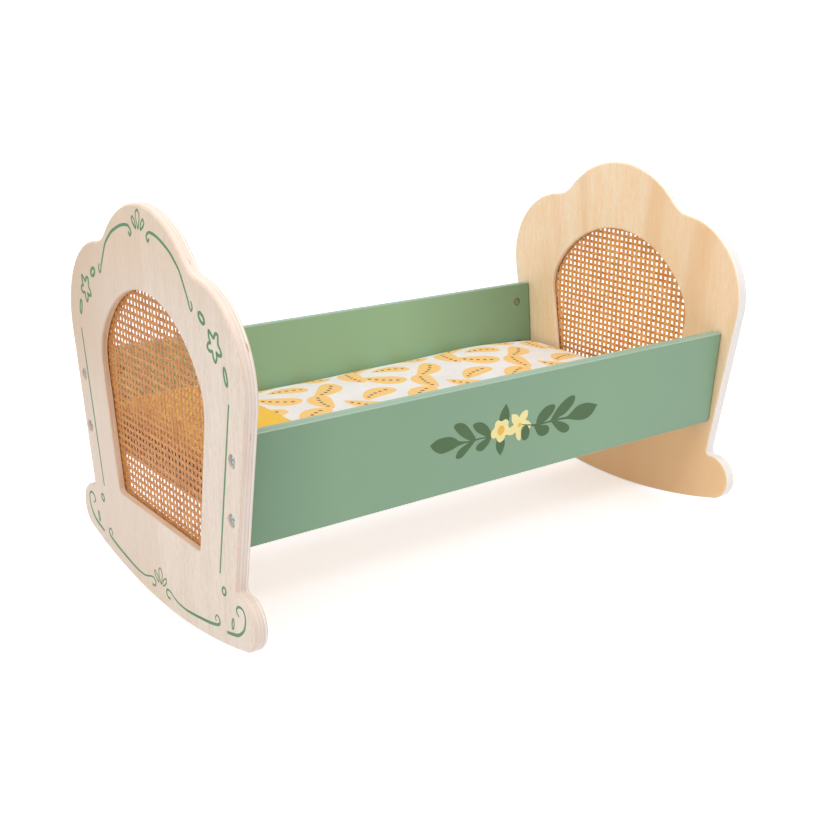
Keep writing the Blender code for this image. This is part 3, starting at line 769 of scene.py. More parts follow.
def present(mesh: bpy.types.Mesh, name: str, materials: Sequence[bpy.types.Material], slot: Slot,
            body: str = CRADLE, replaces: Iterable[str] = (), sharp: float = 40.0,
            weigh: bool = True) -> bpy.types.Object:
    """Makes an object of a finished mesh and sets it on its body.

    Args:
        mesh: the finished mesh.
        name: the piece's name.
        materials: its materials, in slot order.
        slot: the record's slot; not used.
        body: the body that it rides on.
        replaces: the CAD nodes that it stands for.
        sharp: the angle in degrees past which an edge is sharp.
        weigh: gives flat faces their own even shading.

    Returns:
        The piece's object.
    """
    for material in materials:
        mesh.materials.append(material)
    mesh.shade_smooth()
    mesh.set_sharp_from_angle(angle=math.radians(sharp))
    piece = bpy.data.objects.new(name, mesh)
    bpy.context.scene.collection.objects.link(piece)
    if weigh:
        weighing = piece.modifiers.new("even_shading", "WEIGHTED_NORMAL")
        weighing.keep_sharp = True
    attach(piece, body)
    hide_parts(*replaces)
    LOG.info("%s: %d faces, on %s", name, len(mesh.polygons), body)
    return piece


def merged_copy(node: str) -> bmesh.types.BMesh:
    """A copy of a CAD node's mesh with its loose triangles merged and its flat areas made whole."""
    bm = bmesh.new()
    bm.from_mesh(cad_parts[node].data)
    bmesh.ops.remove_doubles(bm, verts=bm.verts, dist=WELD)
    bmesh.ops.dissolve_limit(bm, angle_limit=math.radians(0.5), verts=bm.verts, edges=bm.edges)
    return bm


@dataclass(frozen=True)
class Arc:
    """A turn of an outline round a centre, clockwise where it hollows the outline."""

    centre: Place
    start: float
    stop: float
    steps: int
    hollow: bool = False

    @property
    def sweep(self) -> float:
        """The turn in degrees, negative for a hollow."""
        if self.hollow:
            return -((self.start - self.stop) % 360)
        return (self.stop - self.start) % 360


@dataclass(frozen=True)
class EndOutline:
    """The scalloped outline of an end, in tangent arcs from the rocker to the crown."""

    height: float = 0.317
    rocker_radius: float = 0.548
    foot_radius: float = 0.0207
    foot_out: float = 0.1341
    foot_notch_radius: float = 0.0035
    side_radius: float = 0.0710
    side_out: float = 0.0822
    side_up: float = 0.2066
    taper: float = 10.4
    top_radius: float = 0.0941
    top_notch_radius: float = 0.030

    def path(self, grow: float) -> tuple[Place, list[Arc | Place]]:
        """Works out half of the outline.

        Args:
            grow: how far the outline is moved outwards.

        Returns:
            The lowest point, then the arcs and the goals of straight runs, up to the crown.
        """
        reach = self.rocker_radius - self.foot_radius
        sweep = math.degrees(math.asin(self.foot_out / reach))
        rocker = (0.0, self.rocker_radius)
        foot = polar(rocker, reach, sweep - 90)
        side = (self.side_out, self.side_up)
        top = (0.0, self.height - self.top_radius)
        start = polar(side, self.side_radius + self.foot_notch_radius, -self.taper)
        waist = meet_line(start, -self.taper - 90, foot, self.foot_radius + self.foot_notch_radius, -1)
        neck = meet_circles(side, self.side_radius + self.top_notch_radius,
                            top, self.top_radius + self.top_notch_radius)
        return (0.0, -grow), [
            Arc(rocker, -90, sweep - 90, 30),
            Arc(foot, sweep - 90, bearing(foot, waist), 26),
            Arc(waist, bearing(waist, foot), -180 - self.taper, 7, True),
            polar(side, self.side_radius + grow, -self.taper),
            Arc(side, -self.taper, bearing(side, neck), 36),
            Arc(neck, bearing(neck, side), bearing(neck, top), 14, True),
            Arc(top, bearing(top, neck), 90, 30),
        ]


@dataclass(frozen=True)
class WindowOutline:
    """The arched window: a straight sill, flared jambs, round shoulders and an arch."""

    sill_up: float = 0.0708
    sill_width: float = 0.1469
    top_up: float = 0.2523
    arch_radius: float = 0.0989
    flare: float = 9.3
    corner_radius: float = 0.005
    shoulder_radius: float = 0.0446

    def path(self, grow: float) -> tuple[Place, list[Arc | Place]]:
        """Works out half of the outline.

        Args:
            grow: how far the outline is moved outwards.

        Returns:
            The sill's middle, then the arcs and the goals of straight runs, up to the top.
        """
        flare = math.radians(self.flare)
        sill_end = self.sill_width / 2
        lean = math.tan(flare) - 1 / math.cos(flare)
        corner = (sill_end + self.corner_radius * lean, self.sill_up + self.corner_radius)
        arch = (0.0, self.top_up - self.arch_radius)
        run = (sill_end - self.shoulder_radius / math.cos(flare), self.sill_up)
        shoulder = meet_line(run, 90 - self.flare, arch, self.arch_radius - self.shoulder_radius, 1)
        return (0.0, self.sill_up - grow), [
            polar(corner, self.corner_radius + grow, -90),
            Arc(corner, -90, -self.flare, 8),
            polar(shoulder, self.shoulder_radius + grow, -self.flare),
            Arc(shoulder, -self.flare, bearing(arch, shoulder), 18),
            Arc(arch, bearing(arch, shoulder), 90, 26),
        ]

    def span(self, axis: Axis, value: float, grow: float) -> tuple[float, float]:
        """Finds where the outline's inside begins and ends along a line.

        Args:
            axis: the axis that the line runs along, Y or Z.
            value: the line's place on the other axis.
            grow: how far the outline is moved outwards.

        Returns:
            The lowest and the highest place on the axis, equal where the line misses.
        """
        bm = bmesh.new()
        edges = ring(bm, self.path(grow), 0.0)
        other = Axis.Y if axis is Axis.Z else Axis.Z
        hits = []
        for edge in edges:
            a, b = edge.verts[0].co, edge.verts[1].co
            low, high = a[other.value] - value, b[other.value] - value
            if (low <= 0) != (high <= 0):
                share = low / (low - high)
                hits.append(a[axis.value] + share * (b[axis.value] - a[axis.value]))
        bm.free()
        return (min(hits), max(hits)) if hits else (0.0, 0.0)


def ring(bm: bmesh.types.BMesh, path: tuple[Place, list[Arc | Place]], x: float) -> list:
    """Draws a closed outline across X by spinning a point from arc to arc.

    Args:
        bm: the mesh that it is drawn in.
        path: the outline's first point, and its arcs and straight runs.
        x: the outline's place on X.

    Returns:
        The outline's edges.
    """
    sketch = bmesh.new()
    (y, z), legs = path
    tip = sketch.verts.new((x, y, z))
    for leg in legs:
        if isinstance(leg, Arc):
            made = bmesh.ops.spin(sketch, geom=[tip], cent=(x, *leg.centre), axis=(1, 0, 0),
                                  dvec=(0, 0, 0), angle=math.radians(leg.sweep), steps=leg.steps,
                                  use_duplicate=False)
            tip = next(v for v in made["geom_last"] if isinstance(v, bmesh.types.BMVert))
        else:
            made = bmesh.ops.extrude_vert_indiv(sketch, verts=[tip])
            tip = made["verts"][0]
            tip.co = (x, *leg)
    bmesh.ops.mirror(sketch, geom=sketch.verts[:] + sketch.edges[:], merge_dist=WELD, axis="Y",
                     matrix=Matrix.Identity(4))
    bmesh.ops.remove_doubles(sketch, verts=sketch.verts, dist=WELD)
    mesh = bpy.data.meshes.new("outline")
    sketch.to_mesh(mesh)
    sketch.free()
    before = set(bm.edges)
    bm.from_mesh(mesh)
    bpy.data.meshes.remove(mesh)
    return [edge for edge in bm.edges if edge not in before]


@dataclass
class EndPanels:
    """Both ends: each an outer and an inner layer of ply, glued round the cane."""

    finishes: Finishes
    outline: EndOutline = field(default_factory=EndOutline)
    window: WindowOutline = field(default_factory=WindowOutline)
    outer_face: float = 0.2500
    glue_line: float = 0.2445
    rebate_floor: float = 0.24285
    inner_face: float = 0.2390
    rebate_width: float = 0.007
    edge_radius: float = 0.0024
    window_edge_radius: float = 0.0015
    rounding_steps: int = 6
    bolt_places: tuple[Place, ...] = ((0.1308, 0.1588), (0.1267, 0.1140))
    counterbore_radius: float = 0.0053
    counterbore_depth: float = 0.0034
    bore_radius: float = 0.0028
    bore_segments: int = 36

    def rounded(self, work: Workpiece, end: End, shape: EndOutline | WindowOutline, radius: float,
                face: float, stop: float, way: int) -> list[list]:
        """Draws the rings of an edge that is rounded at a face.

        Args:
            work: the piece.
            end: the end that it belongs to.
            shape: the outline.
            radius: the rounding's radius.
            face: the face's distance from the cradle's middle.
            stop: where the edge ends.
            way: +1 for an opening, which the rounding widens, -1 for the outside.

        Returns:
            The rings from the face to the stop.
        """
        inwards = math.copysign(1.0, stop - face)
        rings = []
        for step in range(self.rounding_steps + 1):
            angle = math.radians(90 * step / self.rounding_steps)
            depth = radius * (1 - math.cos(angle))
            grow = way * radius * (1 - math.sin(angle))
            rings.append(ring(work.bm, shape.path(grow), end.value * (face + inwards * depth)))
        rings.append(ring(work.bm, shape.path(0.0), end.value * stop))
        return rings

    def bores(self, work: Workpiece, end: End, stations: Sequence[tuple[float, float]]) -> list[list]:
        """Sinks the four bolt holes.

        Args:
            work: the piece.
            end: the end that it belongs to.
            stations: pairs of a distance from the cradle's middle and a radius, in order.

        Returns:
            The rings of the holes' first and last stations, for the faces.
        """
        turn = Matrix.Rotation(math.radians(90), 3, "Y")
        mouths, ends = [], []
        for side in Side:
            for out, up in self.bolt_places:
                rings = [work.circle(Vector((end.value * x, side.value * out, up)), radius,
                                     self.bore_segments, turn) for x, radius in stations]
                work.bridge(*rings)
                mouths += rings[0]
                ends += rings[-1]
        return [mouths, ends]

    def outer_layer(self, end: End) -> None:
        """Builds an end's outer layer, with the counterbores for the bolt heads."""
        work = Workpiece(f"{end.word}_outer_ply")
        edge = self.rounded(work, end, self.outline, self.edge_radius, self.outer_face, self.glue_line, -1)
        jamb = self.rounded(work, end, self.window, self.window_edge_radius, self.outer_face,
                            self.glue_line, 1)
        floor = self.outer_face - self.counterbore_depth
        mouths, ends = self.bores(work, end, (
            (self.outer_face, self.counterbore_radius), (floor, self.counterbore_radius),
            (floor, self.bore_radius), (self.glue_line, self.bore_radius)))
        work.bridge(*edge)
        work.bridge(*jamb)
        work.fill(edge[0], jamb[0], mouths)
        work.fill(edge[-1], jamb[-1], ends)
        bmesh.ops.recalc_face_normals(work.bm, faces=work.bm.faces)
        work.done([self.finishes.ply], Slot.PLY, replaces=[f"{end.word}_end_outer_layer"])

    def inner_layer(self, end: End) -> None:
        """Builds an end's inner layer, with the rebate that traps the cane."""
        work = Workpiece(f"{end.word}_inner_ply")
        edge = self.rounded(work, end, self.outline, self.edge_radius, self.inner_face, self.glue_line, -1)
        jamb = self.rounded(work, end, self.window, self.window_edge_radius, self.inner_face,
                            self.rebate_floor, 1)
        rebate = [ring(work.bm, self.window.path(self.rebate_width), end.value * x)
                  for x in (self.rebate_floor, self.glue_line)]
        mouths, ends = self.bores(work, end, (
            (self.inner_face, self.bore_radius), (self.glue_line, self.bore_radius)))
        work.bridge(*edge)
        work.bridge(*jamb)
        work.fill(jamb[-1], rebate[0])
        work.bridge(*rebate)
        work.fill(edge[0], jamb[0], mouths)
        work.fill(edge[-1], rebate[-1], ends)
        bmesh.ops.recalc_face_normals(work.bm, faces=work.bm.faces)
        work.done([self.finishes.ply], Slot.PLY, replaces=[f"{end.word}_end_inner_layer"])

    def build(self) -> None:
        """Builds both layers of both ends."""
        for end in End:
            self.outer_layer(end)
            self.inner_layer(end)


@dataclass
class CaneNets:
    """The open cane weave in both windows, strand over strand."""

    finishes: Finishes
    window: WindowOutline = field(default_factory=WindowOutline)
    plane: float = 0.24377
    reach: float = 0.0045
    standing_pitch: float = 0.00593
    lying_pitch: float = 0.00580
    standing_width: float = 0.00340
    lying_width: float = 0.00290
    thickness: float = 0.00024
    wave: float = 0.00014
    crown: float = 0.00006
    steps_per_pitch: int = 4
    first_standing: tuple[float, float] = (-0.0011, 0.0020)
    first_lying: float = 0.0716

    def strand(self, end: End, along: Axis, index: int, place: float) -> bmesh.types.BMesh | None:
        """Weaves one strand as a crowned ribbon.

        Args:
            end: the end that it belongs to.
            along: the axis that it runs along.
            index: its number, which says where it goes over.
            place: its place on the other axis.

        Returns:
            The strand's mesh, or None where the window is too short for one.
        """
        low, high = self.window.span(along, place, self.reach)
        origin, width, pitch, hand = self.first_lying, self.standing_width, self.lying_pitch, 1.0
        if along is Axis.Y:
            origin, width = self.first_standing[(end.value + 1) // 2], self.lying_width
            pitch, hand = self.standing_pitch, -1.0
        if high - low < 2 * pitch:
            return None
        bm = bmesh.new()
        steps = max(8, round((high - low) / pitch * self.steps_per_pitch))
        bmesh.ops.create_grid(bm, x_segments=steps, y_segments=2, size=1.0)
        for vert in bm.verts:
            run = low + (vert.co.x + 1) / 2 * (high - low)
            across = place + vert.co.y * width / 2
            lift = hand * self.wave * math.cos(math.pi * ((run - origin) / pitch + index))
            lift += self.crown * (1 - vert.co.y ** 2)
            x = end.value * (self.plane + lift)
            vert.co = (x, across, run) if along is Axis.Z else (x, run, across)
        bmesh.ops.recalc_face_normals(bm, faces=bm.faces)
        bmesh.ops.solidify(bm, geom=bm.faces[:], thickness=self.thickness)
        bmesh.ops.recalc_face_normals(bm, faces=bm.faces)
        return bm

    def build(self) -> None:
        """Weaves both nets."""
        for end in End:
            work = Workpiece(f"{end.word}_cane")
            standing = self.first_standing[(end.value + 1) // 2]
            for along, first, pitch, slot in ((Axis.Z, standing, self.standing_pitch, 0),
                                              (Axis.Y, self.first_lying, self.lying_pitch, 1)):
                for index in range(-20, 60):
                    strand = self.strand(end, along, index, first + index * pitch)
                    if strand:
                        work.merge(strand, slot)
            work.done([self.finishes.standing_cane, self.finishes.lying_cane], Slot.CANE,
                      replaces=[f"{end.word}_end_cane"], sharp=50, weigh=False)


@dataclass
class Boards:
    """The two green side boards and the ply base board."""

    finishes: Finishes
    top_out: float = 0.1325
    top_up: float = 0.1777
    half_thickness: float = 0.0045
    cant: float = 5.2
    soft_radius: float = 0.0024
    crisp_radius: float = 0.0010
    reach: float = 0.2387

    def crisp(self, board: bmesh.types.BMesh, side: Side) -> None:
        """Draws a board's long top edges out from the soft rounding to the crisper one.

        Args:
            board: the board's mesh.
            side: the board's side.
        """
        cos, sin = math.cos(math.radians(self.cant)), math.sin(math.radians(self.cant))
        across, down = Vector((0, side.value * cos, -sin)), Vector((0, -side.value * sin, -cos))
        top = Vector((0, side.value * self.top_out, self.top_up))
        for vert in board.verts:
            off = vert.co - top
            out, low = off.dot(across), off.dot(down)
            a, b = abs(out) - self.half_thickness + self.soft_radius, self.soft_radius - low
            if a < -WELD or b < -WELD:
                continue
            late = min(max((abs(vert.co.x) - self.reach) / self.soft_radius + 1, 0.0), 1.0)
            radius = self.crisp_radius + (self.soft_radius - self.crisp_radius) * late
            share = radius / self.soft_radius
            goal = self.half_thickness - radius + a * share
            vert.co += across * (math.copysign(goal, out) - out) + down * (radius - b * share - low)

    def build(self) -> None:
        """Dresses the boards."""
        for side in Side:
            node = f"{side.word}_side_panel"
            work = Workpiece(f"{side.word}_board")
            board = merged_copy(node)
            self.crisp(board, side)
            work.merge(board)
            work.done([self.finishes.green], Slot.GREEN, replaces=[node], sharp=35)
        work = Workpiece("base_ply")
        work.merge(merged_copy("base_board"))
        work.done([self.finishes.base_ply], Slot.PLY, replaces=["base_board"], sharp=35)


@dataclass
class Fasteners:
    """The eight bolts, sunk in the ends, and their barrel nuts."""

    finishes: Finishes
    seat: float = 0.2468
    head_share: float = 0.5

    def lower_head(self, bolt: bmesh.types.BMesh) -> None:
        """Makes a bolt's head as low over its seat as the photograph shows it."""
        for vert in bolt.verts:
            out = abs(vert.co.x) - self.seat
            if out > 0:
                vert.co.x = math.copysign(self.seat + out * self.head_share, vert.co.x)

    def build(self) -> None:
        """Dresses the fasteners."""
        kit = self.finishes
        for end in End:
            for side in Side:
                for level in ("upper", "lower"):
                    for kind in ("bolt", "barrel_nut"):
                        node = f"{end.word}_{side.word}_{level}_{kind}"
                        work = Workpiece(f"{end.word}_{side.word}_{level}_zinc_{kind}")
                        copy = merged_copy(node)
                        if kind == "bolt":
                            self.lower_head(copy)
                        work.merge(copy)
                        steel = kit.steel if kind == "bolt" else kit.dull_steel
                        work.done([steel], Slot.STEEL, replaces=[node], sharp=35)


@dataclass(frozen=True)
class Stroke:
    """A printed line through a few points, each with its own width, in millimetres."""

    points: tuple[tuple[float, float, float], ...]
    closed: bool = False
    steps: int = 7

    def path(self) -> list[Vector]:
        """Runs a smooth curve through the points.

        Returns:
            Close points with the width as their third part.
        """
        count = len(self.points)
        legs = count if self.closed else count - 1
        spots = [Vector(point) for point in self.points]
        dense = []
        for leg in range(legs):
            picks = [leg - 1, leg, leg + 1, leg + 2]
            picks = [i % count if self.closed else min(max(i, 0), count - 1) for i in picks]
            a, b, c, d = (spots[i] for i in picks)
            for step in range(self.steps):
                t = step / self.steps
                dense.append(0.5 * (2 * b + (c - a) * t + (2 * a - 5 * b + 4 * c - d) * t ** 2
                                    + (3 * b - a - 3 * c + d) * t ** 3))
        dense.append(dense[0] if self.closed else spots[-1])
        return dense

    def lay(self, surface: Surface, lift: float, weight: float = 1.0) -> bmesh.types.BMesh:
        """Lays the line on a surface as a thin ribbon.

        Args:
            surface: turns two places and a height over the surface into a point.
            lift: the height of the paint.
            weight: makes the whole line wider.

        Returns:
            The ribbon's mesh.
        """
        path = self.path()
        last = len(path) - 1
        bm = bmesh.new()
        bmesh.ops.create_grid(bm, x_segments=last, y_segments=2, size=1.0)
        for vert in bm.verts:
            index = round((vert.co.x + 1) / 2 * last)
            here = path[index]
            ahead, behind = path[min(index + 1, last)], path[max(index - 1, 0)]
            if self.closed and index in (0, last):
                ahead, behind = path[1], path[last - 1]
            way = (ahead - behind).to_2d().normalized()
            reach = vert.co.y * here.z * weight / 2
            vert.co = surface(here.x - way.y * reach, here.y + way.x * reach, lift)
        return thicken(bm, surface, lift)


@dataclass(frozen=True)
class Blade:
    """A printed leaf or petal from its base to its tip, in millimetres."""

    base: Place
    tip: Place
    width: float
    fall: float = 0.8
    rise: float = 1.5
    bend: float = 0.0
    neck: float = 0.5
    steps: int = 18
    rows: int = 4

    def lay(self, surface: Surface, lift: float) -> bmesh.types.BMesh:
        """Lays the leaf on a surface as a thin plate.

        Args:
            surface: turns two places and a height over the surface into a point.
            lift: the height of the paint.

        Returns:
            The plate's mesh.
        """
        base, way = Vector(self.base), Vector(self.tip) - Vector(self.base)
        across = Vector((-way.y, way.x)).normalized()
        peak = self.rise / (self.rise + self.fall)
        most = peak ** self.rise * (1 - peak) ** self.fall
        bm = bmesh.new()
        bmesh.ops.create_grid(bm, x_segments=self.steps, y_segments=self.rows, size=1.0)
        for vert in bm.verts:
            share = (1 - math.cos((vert.co.x + 1) / 2 * math.pi)) / 2
            half = self.width / 2 * share ** self.rise * (1 - share) ** self.fall / most
            half = max(half, self.neck / 2 * (share < peak))
            spot = base + way * share
            spot += across * (self.bend * math.sin(math.pi * share) + half * vert.co.y)
            vert.co = surface(spot.x, spot.y, lift)
        return thicken(bm, surface, lift)


@dataclass(frozen=True)
class Patch:
    """A printed leaf inside a smooth outline, in millimetres."""

    points: tuple[Place, ...]
    steps: int = 5

    def lay(self, surface: Surface, lift: float) -> bmesh.types.BMesh:
        """Lays the leaf on a surface as a thin plate.

        Args:
            surface: turns two places and a height over the surface into a point.
            lift: the height of the paint.

        Returns:
            The plate's mesh.
        """
        path = Stroke(tuple((x, y, 0.0) for x, y in self.points), True, self.steps).path()
        bm = bmesh.new()
        verts = [bm.verts.new(surface(spot.x, spot.y, lift)) for spot in path[:-1]]
        edges = [bm.edges.new(pair) for pair in zip(verts, verts[1:] + verts[:1])]
        bmesh.ops.triangle_fill(bm, use_beauty=True, use_dissolve=False, edges=edges)
        return thicken(bm, surface, lift)


def thicken(bm: bmesh.types.BMesh, surface: Surface, lift: float) -> bmesh.types.BMesh:
    """Gives a printed shape its paint's thickness, down into the surface.

    Args:
        bm: the flat shape, which lies at the paint's height.
        surface: the surface under it.
        lift: the height of the paint.

    Returns:
        The same mesh.
    """
    bmesh.ops.remove_doubles(bm, verts=bm.verts, dist=WELD)
    up = (surface(0, 0, 1) - surface(0, 0, 0)).normalized()
    made = bmesh.ops.extrude_face_region(bm, geom=bm.faces[:])
    moved = [item for item in made["geom"] if isinstance(item, bmesh.types.BMVert)]
    bmesh.ops.translate(bm, verts=moved, vec=-up * (lift + 0.05) * MILLI)
    bmesh.ops.recalc_face_normals(bm, faces=bm.faces)
    return bm


def oval(centre: Place, long: float, short: float, turn: float, width: float) -> Stroke:
    """A ring-shaped stroke.

    Args:
        centre: the ring's centre.
        long: its half length along its own axis.
        short: its half width.
        turn: its axis's angle in degrees.
        width: the line's width.

    Returns:
        The stroke.
    """
    spots = []
    for step in range(8):
        angle = math.pi * step / 4
        spot = Matrix.Rotation(math.radians(turn), 2) @ Vector((long * math.cos(angle), short * math.sin(angle)))
        spots.append((centre[0] + spot.x, centre[1] + spot.y, width))
    return Stroke(tuple(spots), True, 5)


@dataclass
class EndOrnament:
    """The green line border on the outer face of each end: scrolls, sprigs, flowers and rings."""

    finishes: Finishes
    face: float = 0.2500
    lift: float = 0.10
    weight: float = 1.35
    drift: float = 1.5
    drift_from: float = 230.0
    drift_over: float = 70.0
    flower_step: float = 225.6
    mirrored: tuple[Stroke, ...] = (
        Stroke(((18.2, 294.7, 1.3), (16.0, 292.1, 1.6), (13.5, 294.9, 1.5), (15.4, 297.6, 1.5),
                (19.3, 299.2, 1.6), (25.6, 298.8, 1.7), (33.0, 297.2, 1.7), (42.4, 293.8, 1.7),
                (50.9, 290.0, 1.7), (58.5, 284.6, 1.7), (65.5, 278.4, 1.6), (72.9, 266.5, 1.5),
                (76.8, 259.5, 1.4), (78.0, 256.0, 1.3), (80.5, 253.6, 1.2), (82.3, 256.6, 1.3),
                (80.6, 260.6, 1.0))),
        Stroke(((9.4, 307.1, 1.3), (10.9, 304.6, 1.2), (8.8, 301.9, 1.3), (4.3, 299.0, 1.3),
                (5.0, 302.9, 1.1), (6.9, 305.6, 1.1)), True),
        oval((95.6, 251.5), 4.7, 2.7, -33, 1.9),
        oval((127.1, 217.4), 6.1, 2.0, -76, 1.6),
        Stroke(((130.0, 199.0, 1.2), (118.0, 134.8, 1.5), (105.2, 66.5, 1.2))),
        oval((110.3, 54.4), 3.1, 2.6, 60, 1.4),
        Stroke(((131.7, 42.8, 1.0), (128.2, 46.2, 1.2), (131.0, 50.4, 1.4), (137.6, 50.9, 1.4),
                (141.3, 45.2, 1.3), (138.6, 35.6, 1.5), (130.5, 28.3, 1.9), (121.2, 25.1, 1.9),
                (112.3, 23.0, 1.6))),
        oval((122.0, 33.4), 4.3, 1.4, 80, 1.1),
        Stroke(((16.5, 10.5, 1.6), (11.6, 11.0, 1.1), (9.9, 14.4, 1.2), (12.6, 17.1, 1.2),
                (18.4, 16.6, 1.0), (29.5, 13.2, 1.1), (42.5, 12.7, 1.3), (54.0, 13.9, 1.6),
                (70.0, 16.4, 1.7), (86.0, 19.4, 1.8), (98.6, 23.1, 1.7), (101.3, 27.2, 1.3),
                (97.6, 30.2, 1.0), (94.4, 27.4, 0.9), (95.4, 24.9, 0.8))),
        Stroke(((9.9, 25.1, 0.9), (10.4, 21.8, 0.9), (4.6, 16.9, 0.9), (4.2, 20.8, 0.8)), True),
    )
    single: tuple[Stroke, ...] = (
        Stroke(((0.0, 313.0, 1.3), (3.1, 310.6, 1.0), (3.1, 306.8, 0.9), (1.7, 302.8, 1.0),
                (0.0, 299.2, 1.1), (-1.7, 302.8, 0.9), (-3.1, 306.8, 0.9), (-3.1, 310.6, 1.0)), True),
        Stroke(((0.3, 30.7, 0.9), (3.2, 27.6, 0.9), (2.8, 22.9, 0.8), (0.3, 17.0, 0.9),
                (-2.4, 22.9, 0.8), (-2.6, 27.6, 0.8)), True),
    )
    flower: Stroke = Stroke((
        (105.6, 245.0, 1.7), (109.2, 243.0, 1.7), (112.4, 241.2, 1.8), (115.2, 244.6, 1.8),
        (118.8, 244.2, 1.7), (118.6, 237.9, 1.6), (121.4, 234.8, 1.6), (122.4, 231.4, 1.8),
        (118.4, 230.4, 1.8), (115.4, 231.8, 1.5), (115.9, 228.4, 1.5), (113.5, 224.4, 1.6),
        (110.6, 227.3, 1.6), (109.6, 231.2, 1.7), (105.6, 230.7, 1.7), (102.4, 232.9, 1.7),
        (104.2, 236.1, 1.6), (107.3, 236.9, 1.6), (105.6, 240.2, 1.6)), True, 5)

    def surface(self, end: End, hand: int, shift: float) -> Surface:
        """The outer face of an end, as a place for strokes.

        Args:
            end: the end.
            hand: -1 for the half that is mirrored to the back side, else 1.
            shift: how far the stroke is moved along Y, in millimetres.

        Returns:
            The surface.
        """
        def spot(out: float, up: float, lift: float) -> Vector:
            late = min(max((up - self.drift_from) / self.drift_over, 0.0), 1.0)
            across = hand * out + shift - self.drift * late
            return Vector((end.value * (self.face + lift * MILLI), -across * MILLI, up * MILLI))
        return spot

    def build(self) -> None:
        """Prints the border on both ends."""
        for end in End:
            work = Workpiece(f"{end.word}_line_ornament")
            for hand in (1, -1):
                for stroke in self.mirrored:
                    work.merge(stroke.lay(self.surface(end, hand, 0.0), self.lift, self.weight))
                shift = (hand - 1) / 2 * self.flower_step
                work.merge(self.flower.lay(self.surface(end, 1, shift), self.lift, self.weight))
            for stroke in self.single:
                work.merge(stroke.lay(self.surface(end, 1, 0.0), self.lift, self.weight))
            work.done([self.finishes.line], Slot.GREEN, weigh=False)


